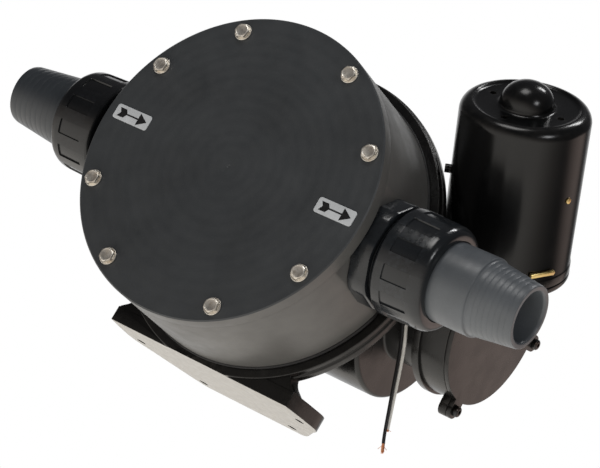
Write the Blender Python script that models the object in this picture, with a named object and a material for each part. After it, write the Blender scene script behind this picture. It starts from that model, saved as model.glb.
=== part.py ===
# Motor-driven diaphragm bilge pump: PVC pump drum with two union hose tails,
# black cast frame with foot and crankcase, worm gearbox and a 45 degree motor.
# Row frame: +X towards the outlet, +Y to the rear (cover faces -Y), +Z up,
# origin in the middle of the foot's bottom face.
import bpy
import bmesh
import math
from mathutils import Vector, Matrix

MM = 0.001

# ---- driving dimensions, millimetres ----
DRUM_R = 130.0            # outside radius of drum and cover
AXIS_Z = 135.0            # height of the drum, port and crank axes
FRONT = 167.0             # cover's front face lies this far in front of the origin
COVER_T = 12.0
GASKET_T = 1.4
DRUM_BACK = 99.5          # drum's rear face, measured from the cover's front
DRUM_BORE_R = 106.0
BOLT_PCR = 118.2
BOLT_ANGLES = (27, 63, 117, 153, 207, 243, 297, 333)
PORT_D = 57.0             # depth of the port axis behind the cover's front
FLAT_X = 124.0            # flats on the drum under the unions
COLLAR_AF = 83.5          # octagonal union collar, across flats
COLLAR_R = 43.2           # its corners are turned off to this radius
RING_F, RING_B = 103.0, 123.5
RING_R = 140.0
FOOT_T = 13.0
CRANK_D = 207.0           # depth of the crank axis
CASE_R = 81.0
CASE_X0, CASE_X1 = -92.0, 96.0
THROW = 6.0               # eccentric throw, half the diaphragm stroke
GEAR_X = 154.5            # plane of worm and wheel
WHEEL_TEETH = 30
MODULE = 1.6
WORM_R = 7.0
WHEEL_R = WHEEL_TEETH * MODULE / 2.0
CENTRES = WHEEL_R + WORM_R
HOUSE_Z, HOUSE_D, HOUSE_R = 150.6, 208.0, 70.0
MOTOR_R = 53.0
MOTOR_FACE = 52.0         # gearbox's motor face, measured along the motor axis
MOTOR_TOP = 201.0
TAIL_END = 262.7
INLET_SHIFT = 11.8        # the inlet hose tail is this much shorter
LEAD_R = 1.42

S2 = math.sqrt(0.5)


def P(x, d, z):
    """Point from x, depth behind the cover's front and height, in metres."""
    return Vector((x * MM, (d - FRONT) * MM, z * MM))


# gearbox / motor axis: leans 45 degrees forward from the vertical
M_AX = Vector((0.0, -S2, S2))
N_AX = Vector((0.0, S2, S2))
CRANK_O = P(0, CRANK_D, AXIS_Z)
WORM_O = P(GEAR_X, CRANK_D, AXIS_Z) + N_AX * CENTRES * MM


# ---- helpers ----
def clear_scene():
    for ob in list(bpy.data.objects):
        bpy.data.objects.remove(ob, do_unlink=True)


def material(name, rgb, rough, metal=0.0):
    m = bpy.data.materials.get(name)
    if m is None:
        m = bpy.data.materials.new(name)
        m.use_nodes = True
        b = m.node_tree.nodes["Principled BSDF"]
        b.inputs["Base Color"].default_value = (rgb[0], rgb[1], rgb[2], 1.0)
        b.inputs["Roughness"].default_value = rough
        b.inputs["Metallic"].default_value = metal
        m.diffuse_color = (rgb[0], rgb[1], rgb[2], 1.0)
    return m


def pvc(n): return material(n + "_pvc", (0.062, 0.066, 0.072), 0.45)
def pvc_dark(n): return material(n + "_pvc_dark", (0.03, 0.035, 0.042), 0.28)
def cast(n): return material(n + "_paint", (0.012, 0.012, 0.012), 0.25)
def steel(n): return material(n + "_steel", (0.55, 0.54, 0.50), 0.3, 1.0)
def rubber(n): return material(n + "_rubber", (0.015, 0.015, 0.015), 0.7)
def brass(n): return material(n + "_brass", (0.62, 0.48, 0.22), 0.35, 1.0)


def to_object(bm, name, mat, origin=Vector((0, 0, 0)), sharp=35.0):
    bmesh.ops.recalc_face_normals(bm, faces=bm.faces)
    bmesh.ops.translate(bm, verts=bm.verts, vec=-origin)
    me = bpy.data.meshes.new(name)
    bm.to_mesh(me)
    bm.free()
    me.shade_smooth()
    me.set_sharp_from_angle(angle=math.radians(sharp))
    ob = bpy.data.objects.new(name, me)
    ob.location = origin
    bpy.context.scene.collection.objects.link(ob)
    if mat is not None:
        me.materials.append(mat)
    return ob


def basis(axis):
    a = Vector(axis).normalized()
    ref = Vector((0, 0, 1)) if abs(a.z) < 0.8 else Vector((1, 0, 0))
    u = ref - a * ref.dot(a)
    u.normalize()
    v = a.cross(u)
    return a, u, v


def lathe_bm(bm, prof, axis, centre, seg=32, phase=0.0):
    """Turn a profile of (axial, radius) pairs in mm about an axis.
    A profile that starts and ends on the axis is left open there."""
    a, u, v = basis(axis)
    closed = prof[0][1] > 1e-9 or prof[-1][1] > 1e-9
    ph = math.radians(phase)
    e = u * math.cos(ph) + v * math.sin(ph)
    vs = [bm.verts.new(centre + a * (h * MM) + e * (r * MM)) for h, r in prof]
    n = len(vs)
    es = [bm.edges.new((vs[i], vs[(i + 1) % n])) for i in range(n if closed else n - 1)]
    bmesh.ops.spin(bm, geom=vs + es, cent=centre, axis=a, dvec=(0, 0, 0),
                   angle=math.tau, steps=seg, use_merge=True, use_duplicate=False)
    bmesh.ops.remove_doubles(bm, verts=bm.verts, dist=2e-6)
    bmesh.ops.dissolve_degenerate(bm, edges=bm.edges, dist=1e-7)


def lathe(name, prof, axis, centre, mat, seg=32, origin=None, phase=0.0, sharp=35.0):
    bm = bmesh.new()
    lathe_bm(bm, prof, axis, centre, seg, phase)
    return to_object(bm, name, mat, origin if origin is not None else centre, sharp)


def cyl_prof(h0, h1, r):
    return [(h0, 0.0), (h0, r), (h1, r), (h1, 0.0)]


def prism_bm(bm, pts, a, h0, h1, u, v, centre):
    a, u, v = Vector(a), Vector(u), Vector(v)
    vs = [bm.verts.new(centre + u * (p[0] * MM) + v * (p[1] * MM) + a * (h0 * MM)) for p in pts]
    f = bm.faces.new(vs)
    r = bmesh.ops.extrude_face_region(bm, geom=[f])
    top = [g for g in r["geom"] if isinstance(g, bmesh.types.BMVert)]
    bmesh.ops.translate(bm, verts=top, vec=a * ((h1 - h0) * MM))


def prism(name, pts, a, h0, h1, u, v, centre, mat, origin=None):
    bm = bmesh.new()
    prism_bm(bm, pts, a, h0, h1, u, v, centre)
    return to_object(bm, name, mat, origin if origin is not None else centre, 30.0)


def box(name, c, size, mat, axes=None, origin=None):
    a, u, v = axes or (Vector((0, 0, 1)), Vector((1, 0, 0)), Vector((0, 1, 0)))
    w, h = size[0] / 2.0, size[1] / 2.0
    return prism(name, [(-w, -h), (w, -h), (w, h), (-w, h)], a, -size[2] / 2.0, size[2] / 2.0,
                 u, v, c, mat, origin)


def hide(ob):
    ob.hide_render = True
    ob.display_type = 'WIRE'
    return ob


def boolean(ob, other, op='DIFFERENCE'):
    hide(other)
    m = ob.modifiers.new(op.lower() + "_" + other.name, 'BOOLEAN')
    m.operation = op
    m.solver = 'EXACT'
    m.object = other
    return ob


def cutters(name, items):
    """One hidden cutter holding several separate round bars:
    (axis, centre, h0, h1, radius, segments)."""
    bm = bmesh.new()
    for axis, c, h0, h1, r, seg in items:
        b2 = bmesh.new()
        lathe_bm(b2, cyl_prof(h0, h1, r), axis, c, seg)
        me = bpy.data.meshes.new("tmp")
        b2.to_mesh(me)
        b2.free()
        bm.from_mesh(me)
        bpy.data.meshes.remove(me)
    return hide(to_object(bm, name, None))


def circle(cx, cy, r, n, a0=0.0, a1=360.0, close=False):
    k = n + (1 if close else 0)
    return [(cx + r * math.cos(math.radians(a0 + (a1 - a0) * i / n)),
             cy + r * math.sin(math.radians(a0 + (a1 - a0) * i / n))) for i in range(k)]


X, Y, Z = Vector((1, 0, 0)), Vector((0, 1, 0)), Vector((0, 0, 1))


def on_circle(r, deg, d):
    return P(r * math.cos(math.radians(deg)), d, AXIS_Z + r * math.sin(math.radians(deg)))


# ---- pump drum ----
def drum():
    front = P(0, 0, AXIS_Z)
    cover = lathe("front_cover", [(0, 0), (0, 128.8), (1.2, DRUM_R), (COVER_T, DRUM_R), (COVER_T, 0)],
                  Y, front, pvc("front_cover"), 40)
    holes = cutters("cover_holes", [(Y, on_circle(BOLT_PCR, a, 0), -2, 120, 3.4, 8) for a in BOLT_ANGLES])
    boolean(cover, holes)
    g0 = COVER_T + 0.3
    gasket = lathe("cover_gasket", [(g0, 108), (g0, 129.4), (g0 + GASKET_T, 129.4), (g0 + GASKET_T, 108)],
                   Y, front, rubber("cover_gasket"), 40)
    boolean(gasket, holes)
    d0 = g0 + GASKET_T + 0.3
    shell = lathe("drum_shell", [(d0, DRUM_BORE_R), (d0, DRUM_R), (DRUM_BACK, DRUM_R), (DRUM_BACK, DRUM_BORE_R)],
                  Y, front, pvc("drum_shell"), 40)
    boolean(shell, holes)
    for s, tag in ((1, "outlet"), (-1, "inlet")):
        flat = box("flat_cutter_" + tag, P(s * (FLAT_X + 10), 57, AXIS_Z), (20, 100, 110), None)
        boolean(shell, hide(flat))
    boolean(shell, cutters("port_holes", [(X, P(0, PORT_D, AXIS_Z), -140, 140, 30.4, 24)]))
    # tie bolts: hex head on the cover, shank right through to the frame ring
    for i, a in enumerate(BOLT_ANGLES):
        bm = bmesh.new()
        c = on_circle(BOLT_PCR, a, 0)
        hexa = [(6.4 * math.cos(math.radians(60 * k + 7 * i)), 6.4 * math.sin(math.radians(60 * k + 7 * i)))
                for k in range(6)]
        prism_bm(bm, hexa, Y, -4.6, -0.6, X, Z, c)
        head = to_object(bm, "cover_bolt_%d" % (i + 1), steel("cover_bolt_%d" % (i + 1)), c, 30)
        shank = lathe("shank_%d" % (i + 1), [(-2.0, 0), (-2.0, 3.0), (121.0, 3.0), (121.0, 0)], Y, c, None, 8)
        boolean(head, shank, 'UNION')
        washer = lathe("washer_%d" % (i + 1), cyl_prof(-1.2, -0.3, 7.2), Y, c, None, 12)
        boolean(head, washer, 'UNION')
    # arrow labels on the cover, along the ports' line
    for name, x, z in (("inlet_arrow_label", LABEL_IN[0], LABEL_IN[1]),
                       ("outlet_arrow_label", LABEL_OUT[0], LABEL_OUT[1])):
        pts = []
        for cx, cz, a0 in ((15.6, 4.3, 0), (-15.6, 4.3, 90), (-15.6, -4.3, 180), (15.6, -4.3, 270)):
            pts += circle(cx, cz, 2.2, 3, a0, a0 + 90, True)
        prism(name, pts, Y, -0.75, -0.3, X, Z, P(x, 0, z),
              material(name + "_vinyl", (0.62, 0.64, 0.66), 0.4))


LABEL_IN = (-104.0, 140.0)
LABEL_OUT = (105.0, 136.0)


# ---- unions ----
def union(tag, s, shift):
    c = P(0, PORT_D, AXIS_Z)
    ax = X * s
    k = 0.0
    j = -shift                    # the barbed end moves in by this
    cut = 22.5 - math.degrees(math.acos(COLLAR_AF / 2 / COLLAR_R))
    octo = [(COLLAR_R * math.cos(math.radians(17 + 45 * i + q)), COLLAR_R * math.sin(math.radians(17 + 45 * i + q)))
            for i in range(8) for q in (-cut, cut)]
    bm = bmesh.new()
    prism_bm(bm, octo, ax, FLAT_X + 0.3, 141.0 + k, Y, Z, c)
    collar = to_object(bm, tag + "_collar", pvc_dark(tag + "_collar"), c, 30)
    sp = lathe(tag + "_collar_tube", cyl_prof(104.0, 150.0 + k, 29.9), ax, c, None, 24)
    th = lathe(tag + "_collar_thread", cyl_prof(max(FLAT_X + 0.6, 126.5 + k), 150.0 + k, 37.9), ax, c, None, 24)
    boolean(collar, sp, 'UNION')
    boolean(collar, th, 'UNION')
    boolean(collar, cutters(tag + "_collar_bore", [(ax, c, 90, 170, 24.1, 24)]))
    lathe(tag + "_oring", [(150.3 + k, 27.2), (150.3 + k, 30.8), (153.2 + k, 31.0), (153.2 + k, 27.0)],
          ax, c, rubber(tag + "_oring"), 24)
    lathe(tag + "_union_nut",
          [(145.0 + k, 38.5), (145.0 + k, 41.6), (147.0 + k, 44.2), (184.0 + k, 43.0), (188.0 + k, 41.5),
           (190.0 + k, 39.0), (190.0 + k, 32.8), (158.0 + k, 32.8), (158.0 + k, 38.5)],
          ax, c, pvc_dark(tag + "_union_nut"), 24)
    # hose tail with a flange held by the nut, a plain part and fine barbs
    step = 223.0 if s > 0 else 202.7
    prof = [(150.4 + k, 31.6), (150.4 + k, 37.8), (157.4 + k, 37.8), (157.4 + k, 32.3), (step, 32.3), (step + 2.0, 30.4)]
    n = 7
    x0, x1 = step + 3.0, TAIL_END - 2.2 + j
    for i in range(n):
        xa = x0 + (x1 - x0) * i / n
        xb = x0 + (x1 - x0) * (i + 1) / n
        r = 30.4 - (30.4 - 26.2) * (i + 0.5) / n
        prof += [(xa + 0.5, r), (xb - 0.4, r - 0.55)]
    prof += [(TAIL_END + j, 25.4), (TAIL_END + j, 21.6), (TAIL_END - 1.5 + j, 20.4),
             (153.6 + k, 20.4), (153.6 + k, 31.6)]
    lathe(tag + "_hose_tail", prof, ax, c, pvc(tag + "_hose_tail"), 18)


def valves():
    c = P(0, PORT_D, AXIS_Z)
    # outlet valve: seat inside the outlet collar, flap opens outwards
    lathe("outlet_valve_seat", [(106.0, 17.0), (106.0, 23.7), (112.0, 23.7), (112.0, 17.0)], X, c,
          pvc_dark("outlet_valve_seat"), 28)
    # inlet valve: seat inside the inlet collar, flap opens into the chamber
    lathe("inlet_valve_seat", [(-112.0, 17.0), (-112.0, 23.7), (-104.3, 23.7), (-104.3, 17.0)], X, c,
          pvc_dark("inlet_valve_seat"), 28)
    for tag, x in (("outlet", 112.3), ("inlet", -104.0)):
        pivot = P(x + 1.5, PORT_D, AXIS_Z + 20.5)
        pts = circle(0, 0, 19.2, 22, 110, 430, True)
        pts += [(6.0, 21.0), (-6.0, 21.0)]
        bm = bmesh.new()
        prism_bm(bm, pts, X, 0.0, 3.0, Y, Z, P(x, PORT_D, AXIS_Z))
        to_object(bm, tag + "_valve_flap", rubber(tag + "_valve_flap"), pivot, 30)


# ---- frame: ring, foot and crankcase in one casting ----
def frame():
    c = P(0, 0, AXIS_Z)
    ring = lathe("frame_casting",
                 [(RING_F, 100.0), (RING_F, 138.4), (109.0, 138.4), (109.6, RING_R), (116.5, RING_R),
                  (117.2, 134.5), (RING_B, 132.0), (RING_B + 6, 104.0), (RING_B + 6, 64.0), (CRANK_D - 20, 64.0),
                  (CRANK_D - 20, 57.0), (RING_B - 2, 57.0), (RING_B - 4, 100.0)],
                 Y, c, cast("frame_casting"), 40, origin=Vector((0, 0, 0)))
    flat = box("ring_flat_cutter", P(0, 115, -10), (320, 60, 20), None)
    # crankcase: horizontal drum behind the ring, joined to it by a round neck
    case = lathe("case_body", [(CASE_X0, 0), (CASE_X0, CASE_R - 2.5), (CASE_X0 + 2.5, CASE_R), (CASE_X1 - 2.5, CASE_R),
                               (CASE_X1, CASE_R - 2.5), (CASE_X1, 45.0), (133.7, 45.0), (133.7, 0)],
                 X, CRANK_O, None, 28)
    boolean(ring, case, 'UNION')
    # foot plate
    half = [(93.0, 105.0), (97.0, 125.0), (99.2, 143.0), (99.8, 151.0), (98.2, 159.0), (94.2, 167.0),
            (88.0, 175.0), (65.0, 212.0), (59.0, 220.0), (51.5, 226.0)]
    pts = half + [(-x, d) for x, d in reversed(half)]
    foot = prism("foot_plate", pts, Z, 0.0, FOOT_T, X, Y, P(0, 0, 0), None)
    boolean(foot, cutters("foot_holes",
                          [(Z, P(s * 85.2, 150.0, 0), -5, 20, 4.2, 12) for s in (-1, 1)] +
                          [(Z, P(s * 48.5, 210.0, 0), -5, 20, 4.2, 12) for s in (-1, 1)]))
    boolean(ring, foot, 'UNION')
    # front web between foot and ring
    side = [(91.0, 3.0), (92.5, 13.5), (88.5, 16.5), (84.5, 20.0), (82.0, 25.0), (81.8, 28.0), (82.5, 32.0),
            (70.0, 50.0)]
    web = prism("front_web", side + [(-x, z) for x, z in reversed(side)], Y, 105.7, 122.3, X, Z, P(0, 0, 0), None)
    boolean(ring, web, 'UNION')
    rib = prism("middle_rib", [(118.0, 5.0), (118.0, 45.0), (135.0, 40.0), (185.0, 60.0), (216.0, 60.0),
                               (216.0, 5.0)], X, -6.0, 6.0, Y, Z, P(0, 0, 0), None)
    boolean(ring, rib, 'UNION')
    boolean(ring, flat)
    # hollows
    hollow = lathe("case_hollow", [(-120.0, 0), (-120.0, 50.9), (-70.0, 50.9), (-70.0, CASE_R - 7.0),
                                   (88.0, CASE_R - 7.0), (88.0, 21.5), (140.0, 21.5), (140.0, 0)],
                   X, CRANK_O, None, 24)
    boolean(ring, hollow)
    boolean(ring, lathe("neck_hollow", cyl_prof(RING_B - 1.5, CRANK_D, 55.5), Y, c, None, 28, phase=4.0))
    boolean(ring, cutters("ring_bolt_holes",
                          [(Y, on_circle(BOLT_PCR, a, 0), 99, 121.4, 3.5, 9) for a in BOLT_ANGLES]))
    # cap that closes the crankcase's inlet side, with its bearing seat
    cap = lathe("crankcase_cap", [(-98.0, 0), (-98.0, 52.0), (-96.5, 54.0), (-92.3, 54.0), (-92.3, 50.0),
                                  (-76.0, 50.0), (-76.0, 44.0), (-88.0, 44.0), (-88.0, 27.0), (-76.0, 27.0),
                                  (-76.0, 21.3), (-90.0, 21.3), (-90.0, 0)], X, CRANK_O,
                cast("crankcase_cap"), 20)
    for tag, x0 in (("left", -89.6), ("right", 90.0)):
        lathe("crank_bearing_" + tag, [(x0, 8.3), (x0, 21.0), (x0 + 12, 21.0), (x0 + 12, 8.3)], X, CRANK_O,
              steel("crank_bearing_" + tag), 24)
    # stay between the ring and the motor
    a = P(104.6, 113.0, 231.6)
    b = WORM_O + M_AX * (a - WORM_O).dot(M_AX)
    dv = (b - a)
    ln = dv.length / MM
    lathe("motor_stay", cyl_prof(0.0, ln - MOTOR_R - 0.6, 3.6), dv.normalized(), a, cast("motor_stay"), 14)


def diaphragm():
    c = P(0, 0, AXIS_Z)
    prof = [(94.4, 5.5), (94.4, 52.0), (86.5, 68.0), (85.0, 76.0), (87.0, 84.0),
            (99.8, 100.0), (99.8, 131.2), (102.7, 131.2), (102.7, 102.0), (90.0, 85.0), (88.0, 76.0),
            (89.3, 69.5), (97.2, 53.0), (97.2, 5.5)]
    dia = lathe("diaphragm", prof, Y, c, rubber("diaphragm"), 24)
    boolean(dia, cutters("dia_holes", [(Y, on_circle(BOLT_PCR, a, 0), 95, 106, 3.4, 8) for a in BOLT_ANGLES]))
    flat = box("dia_flat_cutter", P(0, 100, -10), (320, 40, 20.6), None)
    boolean(dia, flat)
    for k, tag in ((1, "right"), (-1, "left")):
        boolean(dia, box("dia_side_cutter_" + tag, P(k * (FLAT_X + 10), 100, AXIS_Z), (20, 40, 110), None))
    lathe("diaphragm_plate_front", [(88.6, 5.4), (88.6, 44.0), (90.0, 47.0), (94.1, 49.0), (94.1, 5.4)], Y, c,
          steel("diaphragm_plate_front"), 24)
    lathe("diaphragm_plate_rear", [(97.5, 5.4), (97.5, 49.0), (101.5, 47.0), (103.0, 44.0), (103.0, 5.4)], Y, c,
          steel("diaphragm_plate_rear"), 24)
    clevis = lathe("rod_clevis", [(82.0, 0), (82.0, 9.0), (88.3, 9.0), (88.3, 5.0), (103.3, 5.0), (103.3, 15.0),
                                  (112.0, 15.0), (116.0, 16.5), (116.0, 0)], Y, c, steel("rod_clevis"), 16)
    for s in (-1, 1):
        cheek = box("cheek_%s" % ("a" if s < 0 else "b"), P(s * 13.6, 131.0, AXIS_Z), (4.5, 38.0, 18.0), None)
        boolean(clevis, cheek, 'UNION')


def crank():
    ecc = P(0, CRANK_D - THROW, AXIS_Z)
    shaft = lathe("crankshaft", [(-88.5, 0), (-88.5, 8.0), (-40.0, 8.0), (-40.0, 12.0), (84.0, 12.0), (84.0, 8.0),
                                 (161.0, 8.0), (161.0, 0)], X, CRANK_O, steel("crankshaft"), 16)
    boolean(shaft, lathe("eccentric", cyl_prof(-9.0, 9.0, 22.0), X, ecc, None, 28), 'UNION')
    weight = prism("counterweight", circle(0, 0, 34.0, 14, -80, 80, True) + [(4.0, 12.0), (4.0, -12.0)],
                   X, 12.5, 22.0, Y, Z, CRANK_O, None)
    boolean(shaft, weight, 'UNION')
    lathe("rod_bearing", [(-8.5, 22.3), (-8.5, 27.5), (8.5, 27.5), (8.5, 22.3)], X, ecc, brass("rod_bearing"), 24)
    rod = lathe("connecting_rod", [(-8.0, 27.8), (-8.0, 34.0), (8.0, 34.0), (8.0, 27.8)], X, ecc,
                material("connecting_rod_alu", (0.6, 0.6, 0.61), 0.4, 1.0), 24)
    shank = prism("rod_shank", [(-29.5, 9.0), (-54.0, 6.5), (-61.0, 6.5), (-61.0, -6.5), (-54.0, -6.5),
                                (-29.5, -9.0)], X, -5.0, 5.0, Y, Z, ecc, None)
    eye = lathe("rod_eye", cyl_prof(-7.0, 7.0, 9.5), X, ecc - Y * 61 * MM, None, 24)
    pin = lathe("wrist_pin", cyl_prof(-10.6, 10.6, 4.0), X, ecc - Y * 61 * MM, None, 16)
    boolean(rod, shank, 'UNION')
    boolean(rod, eye, 'UNION')
    boolean(rod, pin, 'UNION')


# ---- gearbox ----
def house_outline(r, cut, n=28):
    """Circle clipped by the motor's mounting face, in (y, z) mm about the housing's centre."""
    cen = P(0, HOUSE_D, HOUSE_Z)
    lim = (cut * MM - (cen - WORM_O).dot(M_AX)) / MM
    pts = []
    for y, z in circle(0, 0, r, n):
        t = (z - y) * S2
        if t > lim:
            w = math.sqrt(max(r * r - lim * lim, 0.0))
            q = (y + z) * S2
            q = max(-w, min(w, q))
            pts.append((q * S2 - lim * S2, q * S2 + lim * S2))
        else:
            pts.append((y, z))
    out = []
    for p in pts:
        if not out or math.dist(p, out[-1]) > 0.5:
            out.append(p)
    # points on the clipped chord are collinear, its two ends are enough
    res = []
    for i, p in enumerate(out):
        a, b = out[i - 1], out[(i + 1) % len(out)]
        area = abs((p[0] - a[0]) * (b[1] - a[1]) - (p[1] - a[1]) * (b[0] - a[0]))
        if area > 0.05:
            res.append(p)
    return res


EARS = ((115, -585), (-580, -115), (-115, 585))


def gearbox():
    cen = P(0, HOUSE_D, HOUSE_Z)
    hb = prism("gearbox_housing", house_outline(HOUSE_R, MOTOR_FACE), X, 139.0, 164.7, Y, Z, cen,
               cast("gearbox_housing"), origin=cen)
    flange = prism("house_flange", house_outline(HOUSE_R + 2.5, MOTOR_FACE), X, 134.0, 141.0, Y, Z, cen, None)
    boolean(hb, flange, 'UNION')
    ears = []
    for i, (yy, zz) in enumerate(((7.5, -77.2), (76.0, 15.0), (-76.0, -15.0))):
        e = lathe("house_ear_%d" % i, cyl_prof(157.0, 164.7, 7.5), X, cen + Y * yy * MM + Z * zz * MM, None, 16)
        boolean(hb, e, 'UNION')
        ears.append((yy, zz))
        web = box("house_ear_web_%d" % i, cen + (Y * yy + Z * zz) * 0.86 * MM + X * 160.85 * MM,
                  (15.0, 20.0, 7.7), None,
                  (X, (Y * yy + Z * zz).cross(X).normalized(), (Y * yy + Z * zz).normalized()))
        boolean(hb, web, 'UNION')
    hol = prism("house_hollow", house_outline(HOUSE_R - 6.0, MOTOR_FACE - 7.0), X, 144.0, 170.0, Y, Z, cen, None)
    boolean(hb, hol)
    boolean(hb, cutters("house_bores", [(X, CRANK_O, 120, 150, 12.0, 20), (M_AX, WORM_O, 30, 60, 8.0, 16)] +
                        [(X, cen + Y * a * MM + Z * b * MM, 150, 170, 2.7, 12) for a, b in ears]))
    cv = prism("gearbox_cover", house_outline(HOUSE_R, MOTOR_FACE), X, 165.0, 169.2, Y, Z, cen,
               cast("gearbox_cover"), origin=cen)
    for i, (yy, zz) in enumerate(ears):
        e = lathe("cover_ear_%d" % i, cyl_prof(165.0, 169.2, 7.5), X, cen + Y * yy * MM + Z * zz * MM, None, 16)
        boolean(cv, e, 'UNION')
        web = box("cover_ear_web_%d" % i, cen + (Y * yy + Z * zz) * 0.86 * MM + X * 167.1 * MM,
                  (15.0, 20.0, 4.2), None,
                  (X, (Y * yy + Z * zz).cross(X).normalized(), (Y * yy + Z * zz).normalized()))
        boolean(cv, web, 'UNION')
    boolean(cv, cutters("cover_screw_holes", [(X, cen + Y * a * MM + Z * b * MM, 160, 175, 2.7, 12) for a, b in ears]))
    for i, (yy, zz) in enumerate(ears):
        lathe("gearbox_screw_%d" % (i + 1), [(158.0, 0), (158.0, 2.3), (169.5, 2.3), (169.5, 4.6), (172.6, 4.6),
                                            (173.6, 3.6), (173.6, 0)],
              X, cen + Y * yy * MM + Z * zz * MM, material("gearbox_screw_black", (0.02, 0.02, 0.02), 0.35, 0.6), 14)
    # worm wheel on the crankshaft
    pts = []
    add, ded = 1.3, 1.9
    for i in range(WHEEL_TEETH):
        a = math.tau * (i + WHEEL_PHASE) / WHEEL_TEETH
        w = math.tau / WHEEL_TEETH
        for f, r in ((-0.27, WHEEL_R - ded), (-0.13, WHEEL_R + add), (0.13, WHEEL_R + add), (0.27, WHEEL_R - ded)):
            pts.append((r * math.cos(a + f * w), r * math.sin(a + f * w)))
    wheel = prism("worm_wheel", pts, X, GEAR_X - 4.5, GEAR_X + 4.5, Y, Z, CRANK_O, brass("worm_wheel"), origin=CRANK_O)
    boolean(wheel, cutters("wheel_bore", [(X, CRANK_O, 140, 165, 8.3, 24)]))


WHEEL_PHASE = 4.983


def worm():
    """Armature shaft with the worm cut on its lower end."""
    bm = bmesh.new()
    a = M_AX
    u = X.copy()
    v = a.cross(u)
    pitch = math.pi * MODULE
    nseg, per = 12, 6
    rows = []
    zs = [(-24.0, 5.0), (-14.0, 5.0)]
    n_rows = int(round(24.0 / pitch * per))
    for i in range(n_rows + 1):
        zs.append((-12.0 + 24.0 * i / n_rows, None))
    zs += [(14.0, 5.0), (211.5, 5.0)]
    for h, r in zs:
        ring = []
        for k in range(nseg):
            th = math.tau * k / nseg
            if r is None:
                ph = (h / pitch - th / math.tau) % 1.0
                f = min(ph, 1.0 - ph)          # 0 in the middle of the thread's crest
                t = max(0.0, min(1.0, (0.27 - f) / 0.14))
                edge = max(0.0, min(1.0, (12.0 - abs(h)) / 1.5))
                rr = WORM_R - 1.9 + (1.9 + 1.2) * t * edge
            else:
                rr = r
            ring.append(bm.verts.new(WORM_O + a * (h * MM) + (u * math.cos(th) + v * math.sin(th)) * (rr * MM)))
        rows.append(ring)
    for i in range(len(rows) - 1):
        for k in range(nseg):
            k2 = (k + 1) % nseg
            bm.faces.new((rows[i][k], rows[i][k2], rows[i + 1][k2], rows[i + 1][k]))
    bm.faces.new(rows[0][::-1])
    bm.faces.new(rows[-1])
    return to_object(bm, "worm_shaft", steel("worm_shaft"), WORM_O, 40)


def ring_prof(h0, h1, r0, r1):
    return [(h0, r0), (h0, r1), (h1, r1), (h1, r0)]


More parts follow.
